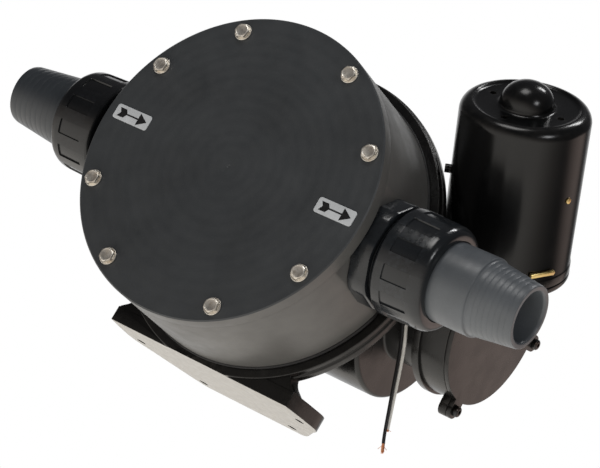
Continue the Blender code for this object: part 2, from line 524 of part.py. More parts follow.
def motor():
    o = WORM_O
    f = MOTOR_FACE
    black = material("motor_can_paint", (0.01, 0.01, 0.011), 0.18)
    top = MOTOR_TOP
    prof = [(f + 8.3, MOTOR_R + 0.8), (f + 15.0, MOTOR_R + 0.8), (f + 16.0, MOTOR_R), (top - 9.0, MOTOR_R),
            (top - 4.5, MOTOR_R - 1.3), (top - 1.2, MOTOR_R - 4.6), (top, MOTOR_R - 9.0), (top - 0.3, 44.0),
            (top - 2.2, 42.5), (top - 2.2, 23.5), (top - 1.0, 22.0), (top + 4.5, 21.2), (top + 10.5, 18.2),
            (top + 15.5, 12.4), (top + 18.1, 4.8), (top + 18.5, 0.0)]
    inner = [(top + 15.3, 0.0), (top + 13.0, 8.0), (top + 8.5, 13.0), (top + 3.0, 15.3), (top - 5.5, 15.3),
             (top - 5.5, 44.0), (top - 9.0, MOTOR_R - 3.4), (f + 8.3, MOTOR_R - 3.4)]
    # the cup is open at its lower end only
    bm = bmesh.new()
    a, u, v = basis(M_AX)
    chain = prof + inner
    vs = [bm.verts.new(o + a * (h * MM) + u * (r * MM)) for h, r in chain]
    es = []
    n = len(chain)
    for i in range(n):
        if i == len(prof) - 1:
            continue
        es.append(bm.edges.new((vs[i], vs[(i + 1) % n])))
    bmesh.ops.spin(bm, geom=vs + es, cent=o, axis=a, dvec=(0, 0, 0), angle=math.tau, steps=24,
                   use_merge=True, use_duplicate=False)
    bmesh.ops.remove_doubles(bm, verts=bm.verts, dist=2e-6)
    bmesh.ops.dissolve_degenerate(bm, edges=bm.edges, dist=1e-7)
    can = to_object(bm, "motor_can", black, o, 30)
    vents = [(M_AX, o + (X * math.cos(math.radians(q)) + N_AX * math.sin(math.radians(q))) * 32.0 * MM,
              top - 12, top + 4, 2.75, 10) for q in (0, 90, 180, 270)]
    boolean(can, cutters("can_vents", vents))
    gr = (-X * 0.8 - N_AX * 0.6)
    boolean(can, cutters("can_lead_hole", [(gr, o + M_AX * GROMMET_T * MM, 40, 60, 5.3, 16)]))
    lathe("lead_grommet", [(MOTOR_R - 4.2, 3.5), (MOTOR_R - 4.2, 5.0), (MOTOR_R + 0.7, 5.0), (MOTOR_R + 0.7, 7.0),
                           (MOTOR_R + 2.2, 6.6), (MOTOR_R + 3.0, 5.4), (MOTOR_R + 3.0, 3.5)],
          gr, o + M_AX * GROMMET_T * MM, rubber("lead_grommet"), 14)
    lathe("motor_end_plate", [(f + 0.3, 12.0), (f + 0.3, 51.0), (f + 1.5, MOTOR_R + 1.0), (f + 8.0, MOTOR_R + 1.0),
                              (f + 8.0, 49.2), (f + 11.5, 49.2), (f + 11.5, 40.0), (f + 8.0, 38.0),
                              (f + 8.0, 24.0), (f + 12.5, 22.0), (f + 12.5, 16.3), (f + 3.6, 16.3), (f + 3.6, 12.0)],
          M_AX, o, black, 24)
    lathe("motor_bearing_lower", ring_prof(f + 4.0, f + 12.0, 5.3, 16.0), M_AX, o, steel("motor_bearing_lower"), 20)
    lathe("motor_bearing_upper", ring_prof(top - 4.0, top + 5.0, 5.3, 14.2), M_AX, o, steel("motor_bearing_upper"), 20)
    core = lathe("armature_core", ring_prof(84.0, 146.0, 5.3, 31.0), M_AX, o,
                 material("armature_core_iron", (0.25, 0.2, 0.16), 0.5, 0.6), 24)
    slots = []
    for i in range(6):
        q = math.radians(60 * i)
        slots.append((M_AX, o + (X * math.cos(q) + N_AX * math.sin(q)) * 31.0 * MM, 80, 150, 3.6, 6))
    boolean(core, cutters("armature_slots", slots))
    lathe("commutator", ring_prof(156.0, 172.0, 5.3, 15.0), M_AX, o,
          material("commutator_copper", (0.7, 0.36, 0.2), 0.35, 1.0), 24)
    for s, tag in ((1, "a"), (-1, "b")):
        box("brush_" + tag, o + M_AX * 164.0 * MM + X * s * 21.0 * MM, (8.0, 10.0, 10.0),
            material("brush_carbon_" + tag, (0.05, 0.05, 0.05), 0.6), (X, N_AX, M_AX))
        pts = circle(0, 0, 48.4, 12, -55 + (0 if s > 0 else 180), 55 + (0 if s > 0 else 180), True) + \
            circle(0, 0, 33.5, 12, 55 + (0 if s > 0 else 180), -55 + (0 if s > 0 else 180), True)
        prism("field_magnet_" + tag, pts, M_AX, 78.0, 152.0, X, N_AX, o,
              material("magnet_ferrite", (0.06, 0.06, 0.065), 0.6), origin=o)
    # brass tab and screw on the can's outside
    for name, q, t, w, h, th in (("motor_tab", TAB_Q, TAB_T, 22.0, 5.0, 3.2),):
        e = X * math.cos(math.radians(q)) + N_AX * math.sin(math.radians(q))
        side = M_AX.cross(e)
        box(name, o + M_AX * t * MM + e * (MOTOR_R + 2.2) * MM, (w, h, th), brass(name), (e, side, M_AX))
    e = X * math.cos(math.radians(SCREW_Q)) + N_AX * math.sin(math.radians(SCREW_Q))
    lathe("motor_screw", [(MOTOR_R + 0.3, 0), (MOTOR_R + 0.3, 2.6), (MOTOR_R + 1.4, 2.4), (MOTOR_R + 2.0, 1.2),
                          (MOTOR_R + 2.0, 0)], e, o + M_AX * SCREW_T * MM, brass("motor_screw"), 14)


GROMMET_T = 76.0
TAB_Q, TAB_T = -25.0, 75.0
SCREW_Q, SCREW_T = -6.0, 136.6


# ---- leads ----
def smooth_route(pts, step):
    """Catmull-Rom curve through the route's points, resampled evenly."""
    dense = []
    p = [pts[0] * 2 - pts[1]] + pts + [pts[-1] * 2 - pts[-2]]
    for i in range(1, len(p) - 2):
        for k in range(24):
            t = k / 24.0
            a, b, c, d = p[i - 1], p[i], p[i + 1], p[i + 2]
            dense.append(0.5 * ((2 * b) + (c - a) * t + (2 * a - 5 * b + 4 * c - d) * t * t +
                                (-a + 3 * b - 3 * c + d) * t * t * t))
    dense.append(pts[-1])
    length = sum((dense[i + 1] - dense[i]).length for i in range(len(dense) - 1))
    n = max(8, int(round(length / (step * MM))))
    out, acc, j = [dense[0]], 0.0, 0
    for k in range(1, n):
        want = length * k / n
        while acc + (dense[j + 1] - dense[j]).length < want:
            acc += (dense[j + 1] - dense[j]).length
            j += 1
        seg = (dense[j + 1] - dense[j]).length
        out.append(dense[j].lerp(dense[j + 1], (want - acc) / seg))
    out.append(dense[-1])
    return out, length


def leads():
    e = (-X * 0.8 - N_AX * 0.6)
    o = WORM_O + M_AX * GROMMET_T * MM
    side = M_AX
    black = [(106.2, 144.0, 167.0), (114.0, 148.0, 128.0), (127.0, 158.0, 91.0), (141.0, 162.0, 50.0),
             (152.0, 164.5, 19.0), (158.5, 165.0, 8.1)]
    white = [(110.8, 143.6, 162.0), (117.2, 149.0, 128.0), (129.8, 159.8, 91.0), (142.2, 165.0, 50.0),
             (150.0, 167.3, 25.0)]
    for name, sg, base, mat in (("lead_black", 1, black, material("lead_black_pvc", (0.02, 0.02, 0.02), 0.4)),
                                ("lead_white", -1, white, material("lead_white_pvc", (0.75, 0.74, 0.7), 0.4))):
        pts = [o + e * (MOTOR_R + h) * MM + side * sg * 1.75 * MM for h in (-3.0, 0.0, 3.0, 6.0)]
        pts += [P(*q) for q in base]
        a = pts[0]
        route, length = smooth_route(pts, 6.5)
        cu = bpy.data.curves.new(name, 'CURVE')
        cu.dimensions = '3D'
        sp = cu.splines.new('POLY')
        sp.points.add(len(route) - 1)
        for q, r in zip(sp.points, route):
            q.co = (r.x - a.x, r.y - a.y, r.z - a.z, 1.0)
        cu.bevel_depth = LEAD_R * MM
        cu.bevel_resolution = 2
        cu.use_fill_caps = True
        ob = bpy.data.objects.new(name, cu)
        ob.location = a
        bpy.context.scene.collection.objects.link(ob)
        cu.materials.append(mat)


def main():
    clear_scene()
    drum()
    union("outlet", 1, 0.0)
    union("inlet", -1, INLET_SHIFT)
    valves()
    frame()
    diaphragm()
    crank()
    gearbox()
    worm()
    motor()
    leads()


main()
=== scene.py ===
# Visual model of a motor-driven diaphragm bilge pump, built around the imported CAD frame.
# Row frame in metres: +X outlet, +Y rear (the cover faces -Y), +Z up.
import bpy
import bmesh
import math
import random
from mathutils import Vector, Matrix
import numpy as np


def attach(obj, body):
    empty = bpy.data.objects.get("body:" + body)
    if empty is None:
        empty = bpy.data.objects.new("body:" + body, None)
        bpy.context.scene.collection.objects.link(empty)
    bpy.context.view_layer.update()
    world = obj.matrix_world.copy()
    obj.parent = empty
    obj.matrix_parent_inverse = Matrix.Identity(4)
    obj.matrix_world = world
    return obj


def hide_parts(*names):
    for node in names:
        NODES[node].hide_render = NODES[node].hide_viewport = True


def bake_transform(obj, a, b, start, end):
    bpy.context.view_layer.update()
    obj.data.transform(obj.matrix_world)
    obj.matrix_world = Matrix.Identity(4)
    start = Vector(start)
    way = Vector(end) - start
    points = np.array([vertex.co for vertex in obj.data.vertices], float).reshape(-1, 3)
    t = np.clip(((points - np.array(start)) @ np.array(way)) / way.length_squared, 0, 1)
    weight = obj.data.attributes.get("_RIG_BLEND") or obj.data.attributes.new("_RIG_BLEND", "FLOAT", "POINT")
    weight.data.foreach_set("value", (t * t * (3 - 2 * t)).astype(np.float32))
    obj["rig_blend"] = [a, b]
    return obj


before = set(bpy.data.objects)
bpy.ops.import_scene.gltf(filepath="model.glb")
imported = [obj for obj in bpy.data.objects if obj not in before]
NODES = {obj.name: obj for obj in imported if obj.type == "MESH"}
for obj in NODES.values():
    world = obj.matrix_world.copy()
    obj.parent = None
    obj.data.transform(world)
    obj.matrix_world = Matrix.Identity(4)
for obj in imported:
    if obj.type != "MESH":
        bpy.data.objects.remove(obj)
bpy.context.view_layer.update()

MM = 0.001
S2 = math.sqrt(0.5)
X, Y, Z = Vector((1, 0, 0)), Vector((0, 1, 0)), Vector((0, 0, 1))


def P(x, d, z):
    """Point from x, depth behind the cover's front and height, all in mm."""
    return Vector((x * MM, (d - 167.0) * MM, z * MM))


AXIS_Z, PORT_D, CRANK_D = 135.0, 57.0, 207.0
RING_F, RING_B, RING_R = 103.0, 123.5, 140.0
CASE_R, CASE_X0, CASE_X1 = 81.0, -92.0, 96.0
FLAT_X, COLLAR_AF, COLLAR_R, FOOT_T = 124.0, 83.5, 43.2, 13.0
BOLT_PCR, BOLT_ANGLES = 118.2, (27, 63, 117, 153, 207, 243, 297, 333)
GEAR_X, HOUSE_D, HOUSE_Z, HOUSE_R = 154.5, 208.0, 150.6, 70.0
MOTOR_R, MOTOR_FACE, MOTOR_TOP = 53.0, 52.0, 201.0
TAIL_END, INLET_SHIFT = 262.7, 11.8
GROMMET_T, TAB_Q, TAB_T, SCREW_Q, SCREW_T = 76.0, -25.0, 75.0, -6.0, 136.6
M_AX = Vector((0.0, -S2, S2))
N_AX = Vector((0.0, S2, S2))
AX_O = P(0, 0, AXIS_Z)
CRANK_O = P(0, CRANK_D, AXIS_Z)
WORM_O = P(GEAR_X, CRANK_D, AXIS_Z) + N_AX * 31.0 * MM
ECC_O = P(0, CRANK_D - 6.0, AXIS_Z)
PORT_O = P(0, PORT_D, AXIS_Z)
HOUSE_O = P(0, HOUSE_D, HOUSE_Z)

# ---------------------------------------------------------------- camera
cam_data = bpy.data.cameras.new("camera")
cam = bpy.data.objects.new("camera", cam_data)
bpy.context.scene.collection.objects.link(cam)
cam.matrix_world = Matrix(((0.781, -0.353, 0.515105, 1.003428),
                           (0.375, -0.395, -0.838435, -1.658080),
                           (0.499, 0.848, -0.176120, -0.204287),
                           (0.0, 0.0, 0.0, 1.0)))
cam_data.lens = 140.523
cam_data.sensor_width = 36.0
cam_data.sensor_fit = 'HORIZONTAL'
cam_data.clip_start, cam_data.clip_end = 0.05, 60.0
bpy.context.scene.camera = cam


# ---------------------------------------------------------------- materials
class Mat:
    """A Principled material with procedural patterns in the object's own coordinates (metres)."""

    def __init__(self, name, rough=0.4, metal=0.0, spec=0.5, coat=0.0, coat_rough=0.08, aniso=0.0, tangent=None):
        self.m = bpy.data.materials.new(name)
        self.m.use_nodes = True
        self.nt = self.m.node_tree
        self.b = self.nt.nodes["Principled BSDF"]
        self.b.inputs["Metallic"].default_value = metal
        self.b.inputs["Roughness"].default_value = rough
        self.b.inputs["Specular IOR Level"].default_value = spec
        self.b.inputs["Coat Weight"].default_value = coat
        self.b.inputs["Coat Roughness"].default_value = coat_rough
        self.b.inputs["Anisotropic"].default_value = aniso
        self.co = self.nt.nodes.new("ShaderNodeTexCoord").outputs["Object"]
        if tangent:
            t = self.nt.nodes.new("ShaderNodeTangent")
            t.direction_type = 'RADIAL'
            t.axis = tangent
            self.link(t.outputs[0], self.b.inputs["Tangent"])
        self.normal = None

    def link(self, a, b):
        self.nt.links.new(a, b)

    def mapped(self, loc=(0, 0, 0), rot=(0, 0, 0), scale=(1, 1, 1)):
        n = self.nt.nodes.new("ShaderNodeMapping")
        n.inputs["Location"].default_value = loc
        n.inputs["Rotation"].default_value = rot
        n.inputs["Scale"].default_value = scale
        self.link(self.co, n.inputs["Vector"])
        return n.outputs[0]

    def noise(self, scale, detail=4.0, rough=0.55, vec=None, dist=0.0):
        n = self.nt.nodes.new("ShaderNodeTexNoise")
        n.inputs["Scale"].default_value = scale
        n.inputs["Detail"].default_value = detail
        n.inputs["Roughness"].default_value = rough
        n.inputs["Distortion"].default_value = dist
        self.link(vec or self.co, n.inputs["Vector"])
        return n.outputs["Fac"]

    def cells(self, scale, vec=None, feature='F1', out="Distance"):
        n = self.nt.nodes.new("ShaderNodeTexVoronoi")
        n.feature = feature
        n.inputs["Scale"].default_value = scale
        self.link(vec or self.co, n.inputs["Vector"])
        return n.outputs[out]

    def wave(self, scale, kind='BANDS', direction='Y', vec=None, dist=0.0, detail=0.0, profile='SIN'):
        n = self.nt.nodes.new("ShaderNodeTexWave")
        n.wave_type = kind
        n.wave_profile = profile
        if kind == 'BANDS':
            n.bands_direction = direction
        else:
            n.rings_direction = direction
        n.inputs["Scale"].default_value = scale
        n.inputs["Distortion"].default_value = dist
        n.inputs["Detail"].default_value = detail
        self.link(vec or self.co, n.inputs["Vector"])
        return n.outputs["Fac"]

    def span(self, x, a, b, c=0.0, d=1.0):
        n = self.nt.nodes.new("ShaderNodeMapRange")
        for k, v in (("From Min", a), ("From Max", b), ("To Min", c), ("To Max", d)):
            n.inputs[k].default_value = v
        self.link(x, n.inputs["Value"])
        return n.outputs[0]

    def math(self, op, a, b):
        n = self.nt.nodes.new("ShaderNodeMath")
        n.operation = op
        for i, v in enumerate((a, b)):
            if isinstance(v, (int, float)):
                n.inputs[i].default_value = v
            else:
                self.link(v, n.inputs[i])
        return n.outputs[0]

    def mix(self, fac, c1, c2, mode='MIX'):
        n = self.nt.nodes.new("ShaderNodeMix")
        n.data_type = 'RGBA'
        n.blend_type = mode
        if isinstance(fac, (int, float)):
            n.inputs[0].default_value = fac
        else:
            self.link(fac, n.inputs[0])
        for i, v in ((6, c1), (7, c2)):
            if isinstance(v, (tuple, list)):
                n.inputs[i].default_value = (v[0], v[1], v[2], 1.0)
            else:
                self.link(v, n.inputs[i])
        return n.outputs[2]

    def color(self, c):
        if isinstance(c, (tuple, list)):
            self.b.inputs["Base Color"].default_value = (c[0], c[1], c[2], 1.0)
        else:
            self.link(c, self.b.inputs["Base Color"])
        return self

    def rough(self, r):
        self.link(r, self.b.inputs["Roughness"])
        return self

    def bump(self, height, dist, strength=1.0):
        n = self.nt.nodes.new("ShaderNodeBump")
        n.inputs["Strength"].default_value = strength
        n.inputs["Distance"].default_value = dist
        self.link(height, n.inputs["Height"])
        if self.normal is not None:
            self.link(self.normal, n.inputs["Normal"])
        self.normal = n.outputs[0]
        self.link(self.normal, self.b.inputs["Normal"])
        return self


def edge_wear(m, dark, light, radius=0.0012):
    """Slight lightening on worn convex edges, from the mesh's own pointiness."""
    g = m.nt.nodes.new("ShaderNodeNewGeometry")
    k = m.span(g.outputs["Pointiness"], 0.51, 0.56)
    n = m.span(m.noise(180, 3), 0.4, 0.65)
    return m.mix(m.math('MULTIPLY', k, n), dark, light)


def mat_pvc(name, base, turned=None, centre=(0, 0, 0), pitch=0.0011, aniso=0.0, tangent=None, rough=(0.36, 0.50)):
    """Machined rigid PVC: satin, faint tool marks, slight mottling and handling dust."""
    m = Mat(name, spec=0.5, aniso=aniso, tangent=tangent)
    a = tuple(c * 0.88 for c in base)
    b = tuple(c * 1.14 for c in base)
    col = m.mix(m.span(m.noise(22, 3, 0.6), 0.3, 0.7), a, b)
    speck = m.span(m.noise(1500, 2, 0.5), 0.62, 0.75)
    col = m.mix(m.math('MULTIPLY', speck, 0.35), col, tuple(min(1, c * 2.2) for c in base))
    m.color(col)
    r = m.span(m.noise(60, 5, 0.6), 0.3, 0.7, rough[0], rough[1])
    if turned:
        vec = m.mapped(loc=tuple(-c for c in centre))
        kind, direction = turned
        w = m.wave(1.0 / pitch / (math.tau / 20 * 10) * 1.0, kind, direction, vec)
        big = m.wave(1.0 / (pitch * 9.0) / math.pi, kind, direction, vec, dist=0.6, detail=1.0)
        r = m.math('ADD', r, m.math('MULTIPLY', m.span(big, 0, 1, -0.5, 0.5), 0.05))
        m.bump(w, 0.000012)
        m.bump(big, 0.00002, 0.6)
    m.rough(r)
    m.bump(m.noise(900, 3, 0.5), 0.00002)
    return m.m


def mat_moulded(name, base, rough=(0.16, 0.30)):
    """Injection-moulded PVC: glossier, soft orange peel, scuffs on its edges."""
    m = Mat(name, spec=0.5)
    col = m.mix(m.span(m.noise(30, 4), 0.3, 0.7), tuple(c * 0.8 for c in base), tuple(c * 1.2 for c in base))
    g = m.nt.nodes.new("ShaderNodeNewGeometry")
    k = m.math('MULTIPLY', m.span(g.outputs["Pointiness"], 0.52, 0.60), m.span(m.noise(260, 3), 0.42, 0.62))
    m.color(m.mix(k, col, tuple(c * 2.6 for c in base)))
    m.rough(m.span(m.noise(90, 5, 0.6), 0.3, 0.7, rough[0], rough[1]))
    m.bump(m.noise(320, 2), 0.00006)
    m.bump(m.noise(1400, 2), 0.000015)
    return m.m


def mat_paint(name, base=(0.0042, 0.0040, 0.0038), rough=(0.20, 0.34), cast=0.00005, peel=0.00002, coat=0.0):
    """Black gloss paint over a casting or pressed steel."""
    m = Mat(name, spec=0.38, coat=coat, coat_rough=0.07)
    dust = m.span(m.noise(14, 6, 0.62), 0.50, 0.80)
    fine = m.span(m.noise(700, 2), 0.55, 0.72)
    col = m.mix(m.math('MULTIPLY', m.math('MULTIPLY', dust, fine), 0.35), base, (0.036, 0.033, 0.029))
    m.color(edge_wear(m, col, (0.030, 0.028, 0.026)))
    m.rough(m.span(m.noise(35, 6, 0.6), 0.3, 0.7, rough[0], rough[1]))
    if cast:
        m.bump(m.noise(170, 3, 0.55), cast)
    m.bump(m.noise(520, 2), peel)
    return m.m


def mat_metal(name, base, rough=(0.22, 0.40), tint=None, pit=0.0, lines=None, aniso=0.0, tangent=None):
    """Bare metal with uneven polish, optional tarnish tint, pits and machining lines."""
    m = Mat(name, metal=1.0, aniso=aniso, tangent=tangent)
    col = m.mix(m.span(m.noise(120, 4), 0.3, 0.7), tuple(c * 0.86 for c in base), tuple(min(1, c * 1.08) for c in base))
    if tint:
        col = m.mix(m.span(m.noise(210, 5, 0.65), 0.48, 0.68), col, tint)
    if pit:
        c = m.cells(1300)
        k = m.math('MULTIPLY', m.span(c, 0.30, 0.12), m.span(m.noise(400, 2), 0.45, 0.6))
        col = m.mix(k, col, tuple(v * 0.25 for v in base))
        m.bump(m.span(c, 0.12, 0.34), pit)
    m.color(col)
    m.rough(m.span(m.noise(260, 5, 0.6), 0.3, 0.7, rough[0], rough[1]))
    if lines:
        kind, direction, pitch, centre, depth = lines
        m.bump(m.wave(1.0 / (pitch * math.pi), kind, direction, m.mapped(loc=tuple(-c for c in centre)), dist=0.4,
                      detail=1.0), depth)
    m.bump(m.noise(1100, 3), 0.00001)
    return m.m


def mat_plain(name, base, rough=(0.5, 0.7), var=0.25, scale=60.0, grain=900.0, depth=0.00003, metal=0.0, spec=0.4):
    m = Mat(name, metal=metal, spec=spec)
    m.color(m.mix(m.span(m.noise(scale, 5, 0.6), 0.3, 0.7), tuple(c * (1 - var) for c in base),
                  tuple(min(1, c * (1 + var)) for c in base)))
    m.rough(m.span(m.noise(scale * 2.3, 4), 0.3, 0.7, rough[0], rough[1]))
    m.bump(m.noise(grain, 3), depth)
    return m.m


GREY = (0.041, 0.0455, 0.050)
M = {}
M["cover"] = mat_pvc("pvc_cover_face", GREY, ('RINGS', 'Y'), AX_O, 0.0011, 0.15, 'Y')
# Drum and gasket rim: the cover's grey made lighter and warmer, which is painted light from the bright table below.
M["drum"] = mat_pvc("pvc_drum_painted_underlight", (0.098, 0.097, 0.093), None)
M["gasket_rim_painted_underlight"] = mat_pvc("gasket_rim_painted_underlight", (0.092, 0.091, 0.087), None)
M["tail"] = mat_pvc("pvc_tail", (0.098, 0.109, 0.121), ('BANDS', 'X'), PORT_O, 0.0008, rough=(0.30, 0.42))
M["tail_in"] = mat_pvc("pvc_tail_dark", (0.032, 0.038, 0.045), ('BANDS', 'X'), PORT_O, 0.0008, rough=(0.30, 0.42))
M["moulded"] = mat_moulded("pvc_moulded", (0.012, 0.0140, 0.0165), (0.13, 0.24))
M["moulded_black"] = mat_moulded("pvc_moulded_black", (0.0055, 0.0060, 0.0070), (0.13, 0.24))
M["cast"] = mat_paint("paint_casting")
M["paint"] = mat_paint("paint_pressed", (0.0032, 0.0034, 0.0036), (0.17, 0.24), 0.0, 0.000004, 0.0)
M["milled"] = mat_metal("milled_base", (0.54, 0.525, 0.495), (0.40, 0.56), (0.47, 0.45, 0.41),
                        lines=('RINGS', 'Z', 0.0022, (-0.30, 0.05, 0.0), 0.00003))
M["stainless"] = mat_metal("stainless_bolt", (0.86, 0.82, 0.75), (0.32, 0.50), (0.64, 0.57, 0.48), pit=0.00002)
M["steel"] = mat_metal("ground_steel", (0.50, 0.50, 0.50), (0.18, 0.32), lines=('BANDS', 'X', 0.0006, (0, 0, 0), 0.00001))
M["bearing"] = mat_metal("bearing_steel", (0.56, 0.56, 0.57), (0.12, 0.26))
M["brass"] = mat_metal("passivated_brass", (0.86, 0.66, 0.26), (0.25, 0.42), (0.74, 0.52, 0.28))
M["bronze"] = mat_metal("gear_bronze", (0.58, 0.40, 0.20), (0.25, 0.42), (0.40, 0.27, 0.13))
M["alloy"] = mat_metal("cast_alloy", (0.55, 0.55, 0.56), (0.42, 0.60), pit=0.00003)
M["copper"] = mat_metal("copper_bar", (0.76, 0.38, 0.22), (0.20, 0.36), (0.42, 0.22, 0.14))
M["strand"] = mat_plain("copper_strand", (0.86, 0.40, 0.20), (0.35, 0.5), 0.15, 900.0, 2000.0, 0.00001, metal=0.25)
M["iron"] = mat_metal("core_laminations", (0.25, 0.21, 0.18), (0.40, 0.6), (0.14, 0.09, 0.06))
M["ferrite"] = mat_plain("ferrite", (0.055, 0.055, 0.06), (0.5, 0.7))
M["carbon"] = mat_plain("carbon_brush", (0.045, 0.045, 0.046), (0.35, 0.55), metal=0.3)
M["rubber"] = mat_plain("rubber", (0.016, 0.016, 0.017), (0.55, 0.75), 0.3, 90.0, 1200.0, 0.00004)
M["black_screw"] = mat_metal("blackened_screw", (0.045, 0.045, 0.047), (0.26, 0.42), (0.07, 0.055, 0.045))
M["lead_black"] = mat_plain("lead_sheath_black", (0.014, 0.014, 0.015), (0.30, 0.45), 0.3, 140.0, 1500.0, 0.00002, spec=0.5)
M["lead_white"] = mat_plain("lead_sheath_white", (0.93, 0.92, 0.87), (0.32, 0.48), 0.07, 120.0, 1500.0, 0.00002, spec=0.5)
M["vinyl"] = mat_plain("label_vinyl", (0.60, 0.63, 0.66), (0.30, 0.45), 0.08, 110.0, 1600.0, 0.00001, spec=0.5)
M["ink"] = mat_plain("label_ink", (0.010, 0.010, 0.011), (0.35, 0.5), 0.35, 300.0, 1600.0, 0.00001)
# Near-black for the inside of a bore: painted shade. No piece uses it.
M["dark"] = mat_plain("painted_shade_bore", (0.010, 0.011, 0.012), (0.4, 0.6))


# ---------------------------------------------------------------- mesh helpers
def basis(axis):
    a = Vector(axis).normalized()
    ref = Vector((0, 0, 1)) if abs(a.z) < 0.8 else Vector((1, 0, 0))
    u = ref - a * ref.dot(a)
    u.normalize()
    return a, u, a.cross(u)


def finish_mesh(bm, name, mats, sharp=32.0):
    bmesh.ops.recalc_face_normals(bm, faces=bm.faces)
    me = bpy.data.meshes.new(name)
    bm.to_mesh(me)
    bm.free()
    me.shade_smooth()
    me.set_sharp_from_angle(angle=math.radians(sharp))
    ob = bpy.data.objects.new(name, me)
    bpy.context.scene.collection.objects.link(ob)
    for m in (mats if isinstance(mats, (list, tuple)) else [mats]):
        if m is not None:
            me.materials.append(m)
    return ob


def rounded(prof, r=0.5, n=3, close=True, keep=()):
    """Round each corner of a profile with a small curve."""
    out = []
    k = len(prof)
    for i, p in enumerate(prof):
        if not close and i in (0, k - 1):
            out.append(p)
            continue
        a, b = prof[i - 1], prof[(i + 1) % k]
        d1 = (a[0] - p[0], a[1] - p[1])
        d2 = (b[0] - p[0], b[1] - p[1])
        l1, l2 = math.hypot(*d1), math.hypot(*d2)
        if l1 < 1e-9 or l2 < 1e-9:
            continue
        cosv = (d1[0] * d2[0] + d1[1] * d2[1]) / (l1 * l2)
        turn = math.degrees(math.pi - math.acos(max(-1, min(1, cosv))))
        if turn < 12 or p[1] < 1e-9 or i in keep:
            out.append(p)
            continue
        c = min(r, 0.42 * l1, 0.42 * l2)
        q1 = (p[0] + d1[0] / l1 * c, p[1] + d1[1] / l1 * c)
        q2 = (p[0] + d2[0] / l2 * c, p[1] + d2[1] / l2 * c)
        for j in range(n + 1):
            t = j / n
            out.append(((1 - t) ** 2 * q1[0] + 2 * t * (1 - t) * p[0] + t * t * q2[0],
                        (1 - t) ** 2 * q1[1] + 2 * t * (1 - t) * p[1] + t * t * q2[1]))
    return out


def lathe_into(bm, prof, axis, centre, seg=96, phase=0.0, mat=0, radius=None):
    """Turn a profile of (axial, radius) mm. It closes on itself unless both its ends are on the axis.
    radius(h, angle) may add to the radius."""
    a, u, v = basis(axis)
    closed = prof[0][1] > 1e-9 or prof[-1][1] > 1e-9
    rings = []
    for h, r in prof:
        if r < 1e-9:
            rings.append([bm.verts.new(centre + a * (h * MM))])
        else:
            ring = []
            for k in range(seg):
                t = math.tau * k / seg + math.radians(phase)
                rr = r + (radius(h, t) if radius else 0.0)
                ring.append(bm.verts.new(centre + a * (h * MM) + (u * math.cos(t) + v * math.sin(t)) * (rr * MM)))
            rings.append(ring)
    n = len(rings)
    for i in range(n if closed else n - 1):
        p, q = rings[i], rings[(i + 1) % n]
        if len(p) == 1 and len(q) == 1:
            continue
        for k in range(seg):
            k2 = (k + 1) % seg
            if len(p) == 1:
                f = (p[0], q[k], q[k2])
            elif len(q) == 1:
                f = (p[k], p[k2], q[0])
            else:
                f = (p[k], p[k2], q[k2], q[k])
            bm.faces.new(f).material_index = mat
    return rings


def lathe(name, prof, axis, centre, mat, seg=96, phase=0.0, rnd=0.4, sharp=32.0, n=3):
    bm = bmesh.new()
    closed = prof[0][1] > 1e-9 or prof[-1][1] > 1e-9
    lathe_into(bm, rounded(prof, rnd, n, closed) if rnd else prof, axis, centre, seg, phase)
    return finish_mesh(bm, name, mat, sharp)


def cyl(h0, h1, r):
    return [(h0, 0.0), (h0, r), (h1, r), (h1, 0.0)]


def prism(name, pts, a, h0, h1, u, v, centre, mat, bevel=0.5, segs=2, sharp=32.0):
    bm = bmesh.new()
    a, u, v = Vector(a), Vector(u), Vector(v)
    lo = [bm.verts.new(centre + u * (p[0] * MM) + v * (p[1] * MM) + a * (h0 * MM)) for p in pts]
    hi = [bm.verts.new(centre + u * (p[0] * MM) + v * (p[1] * MM) + a * (h1 * MM)) for p in pts]
    bm.faces.new(lo)
    bm.faces.new(hi)
    for i in range(len(pts)):
        j = (i + 1) % len(pts)
        bm.faces.new((lo[i], lo[j], hi[j], hi[i]))
    bmesh.ops.recalc_face_normals(bm, faces=bm.faces)
    if bevel:
        edges = [e for e in bm.edges if len(e.link_faces) == 2 and e.calc_face_angle() > math.radians(28)]
        bmesh.ops.bevel(bm, geom=edges, offset=bevel * MM, segments=segs, affect='EDGES', profile=0.6,
                        clamp_overlap=True)
        bmesh.ops.remove_doubles(bm, verts=bm.verts, dist=2e-6)
    return finish_mesh(bm, name, mat, sharp)


def box(name, c, size, mat, axes=None, bevel=0.5):
    a, u, v = axes or (Z, X, Y)
    w, h = size[0] / 2.0, size[1] / 2.0
    return prism(name, [(-w, -h), (w, -h), (w, h), (-w, h)], a, -size[2] / 2.0, size[2] / 2.0, u, v, c, mat, bevel)


def circle(cx, cy, r, n, a0=0.0, a1=360.0, close=False):
    k = n + (1 if close else 0)
    return [(cx + r * math.cos(math.radians(a0 + (a1 - a0) * i / n)),
             cy + r * math.sin(math.radians(a0 + (a1 - a0) * i / n))) for i in range(k)]


def cutters(items):
    bm = bmesh.new()
    for axis, c, h0, h1, r, seg in items:
        lathe_into(bm, cyl(h0, h1, r), axis, c, seg)
    return finish_mesh(bm, "cutter", None)


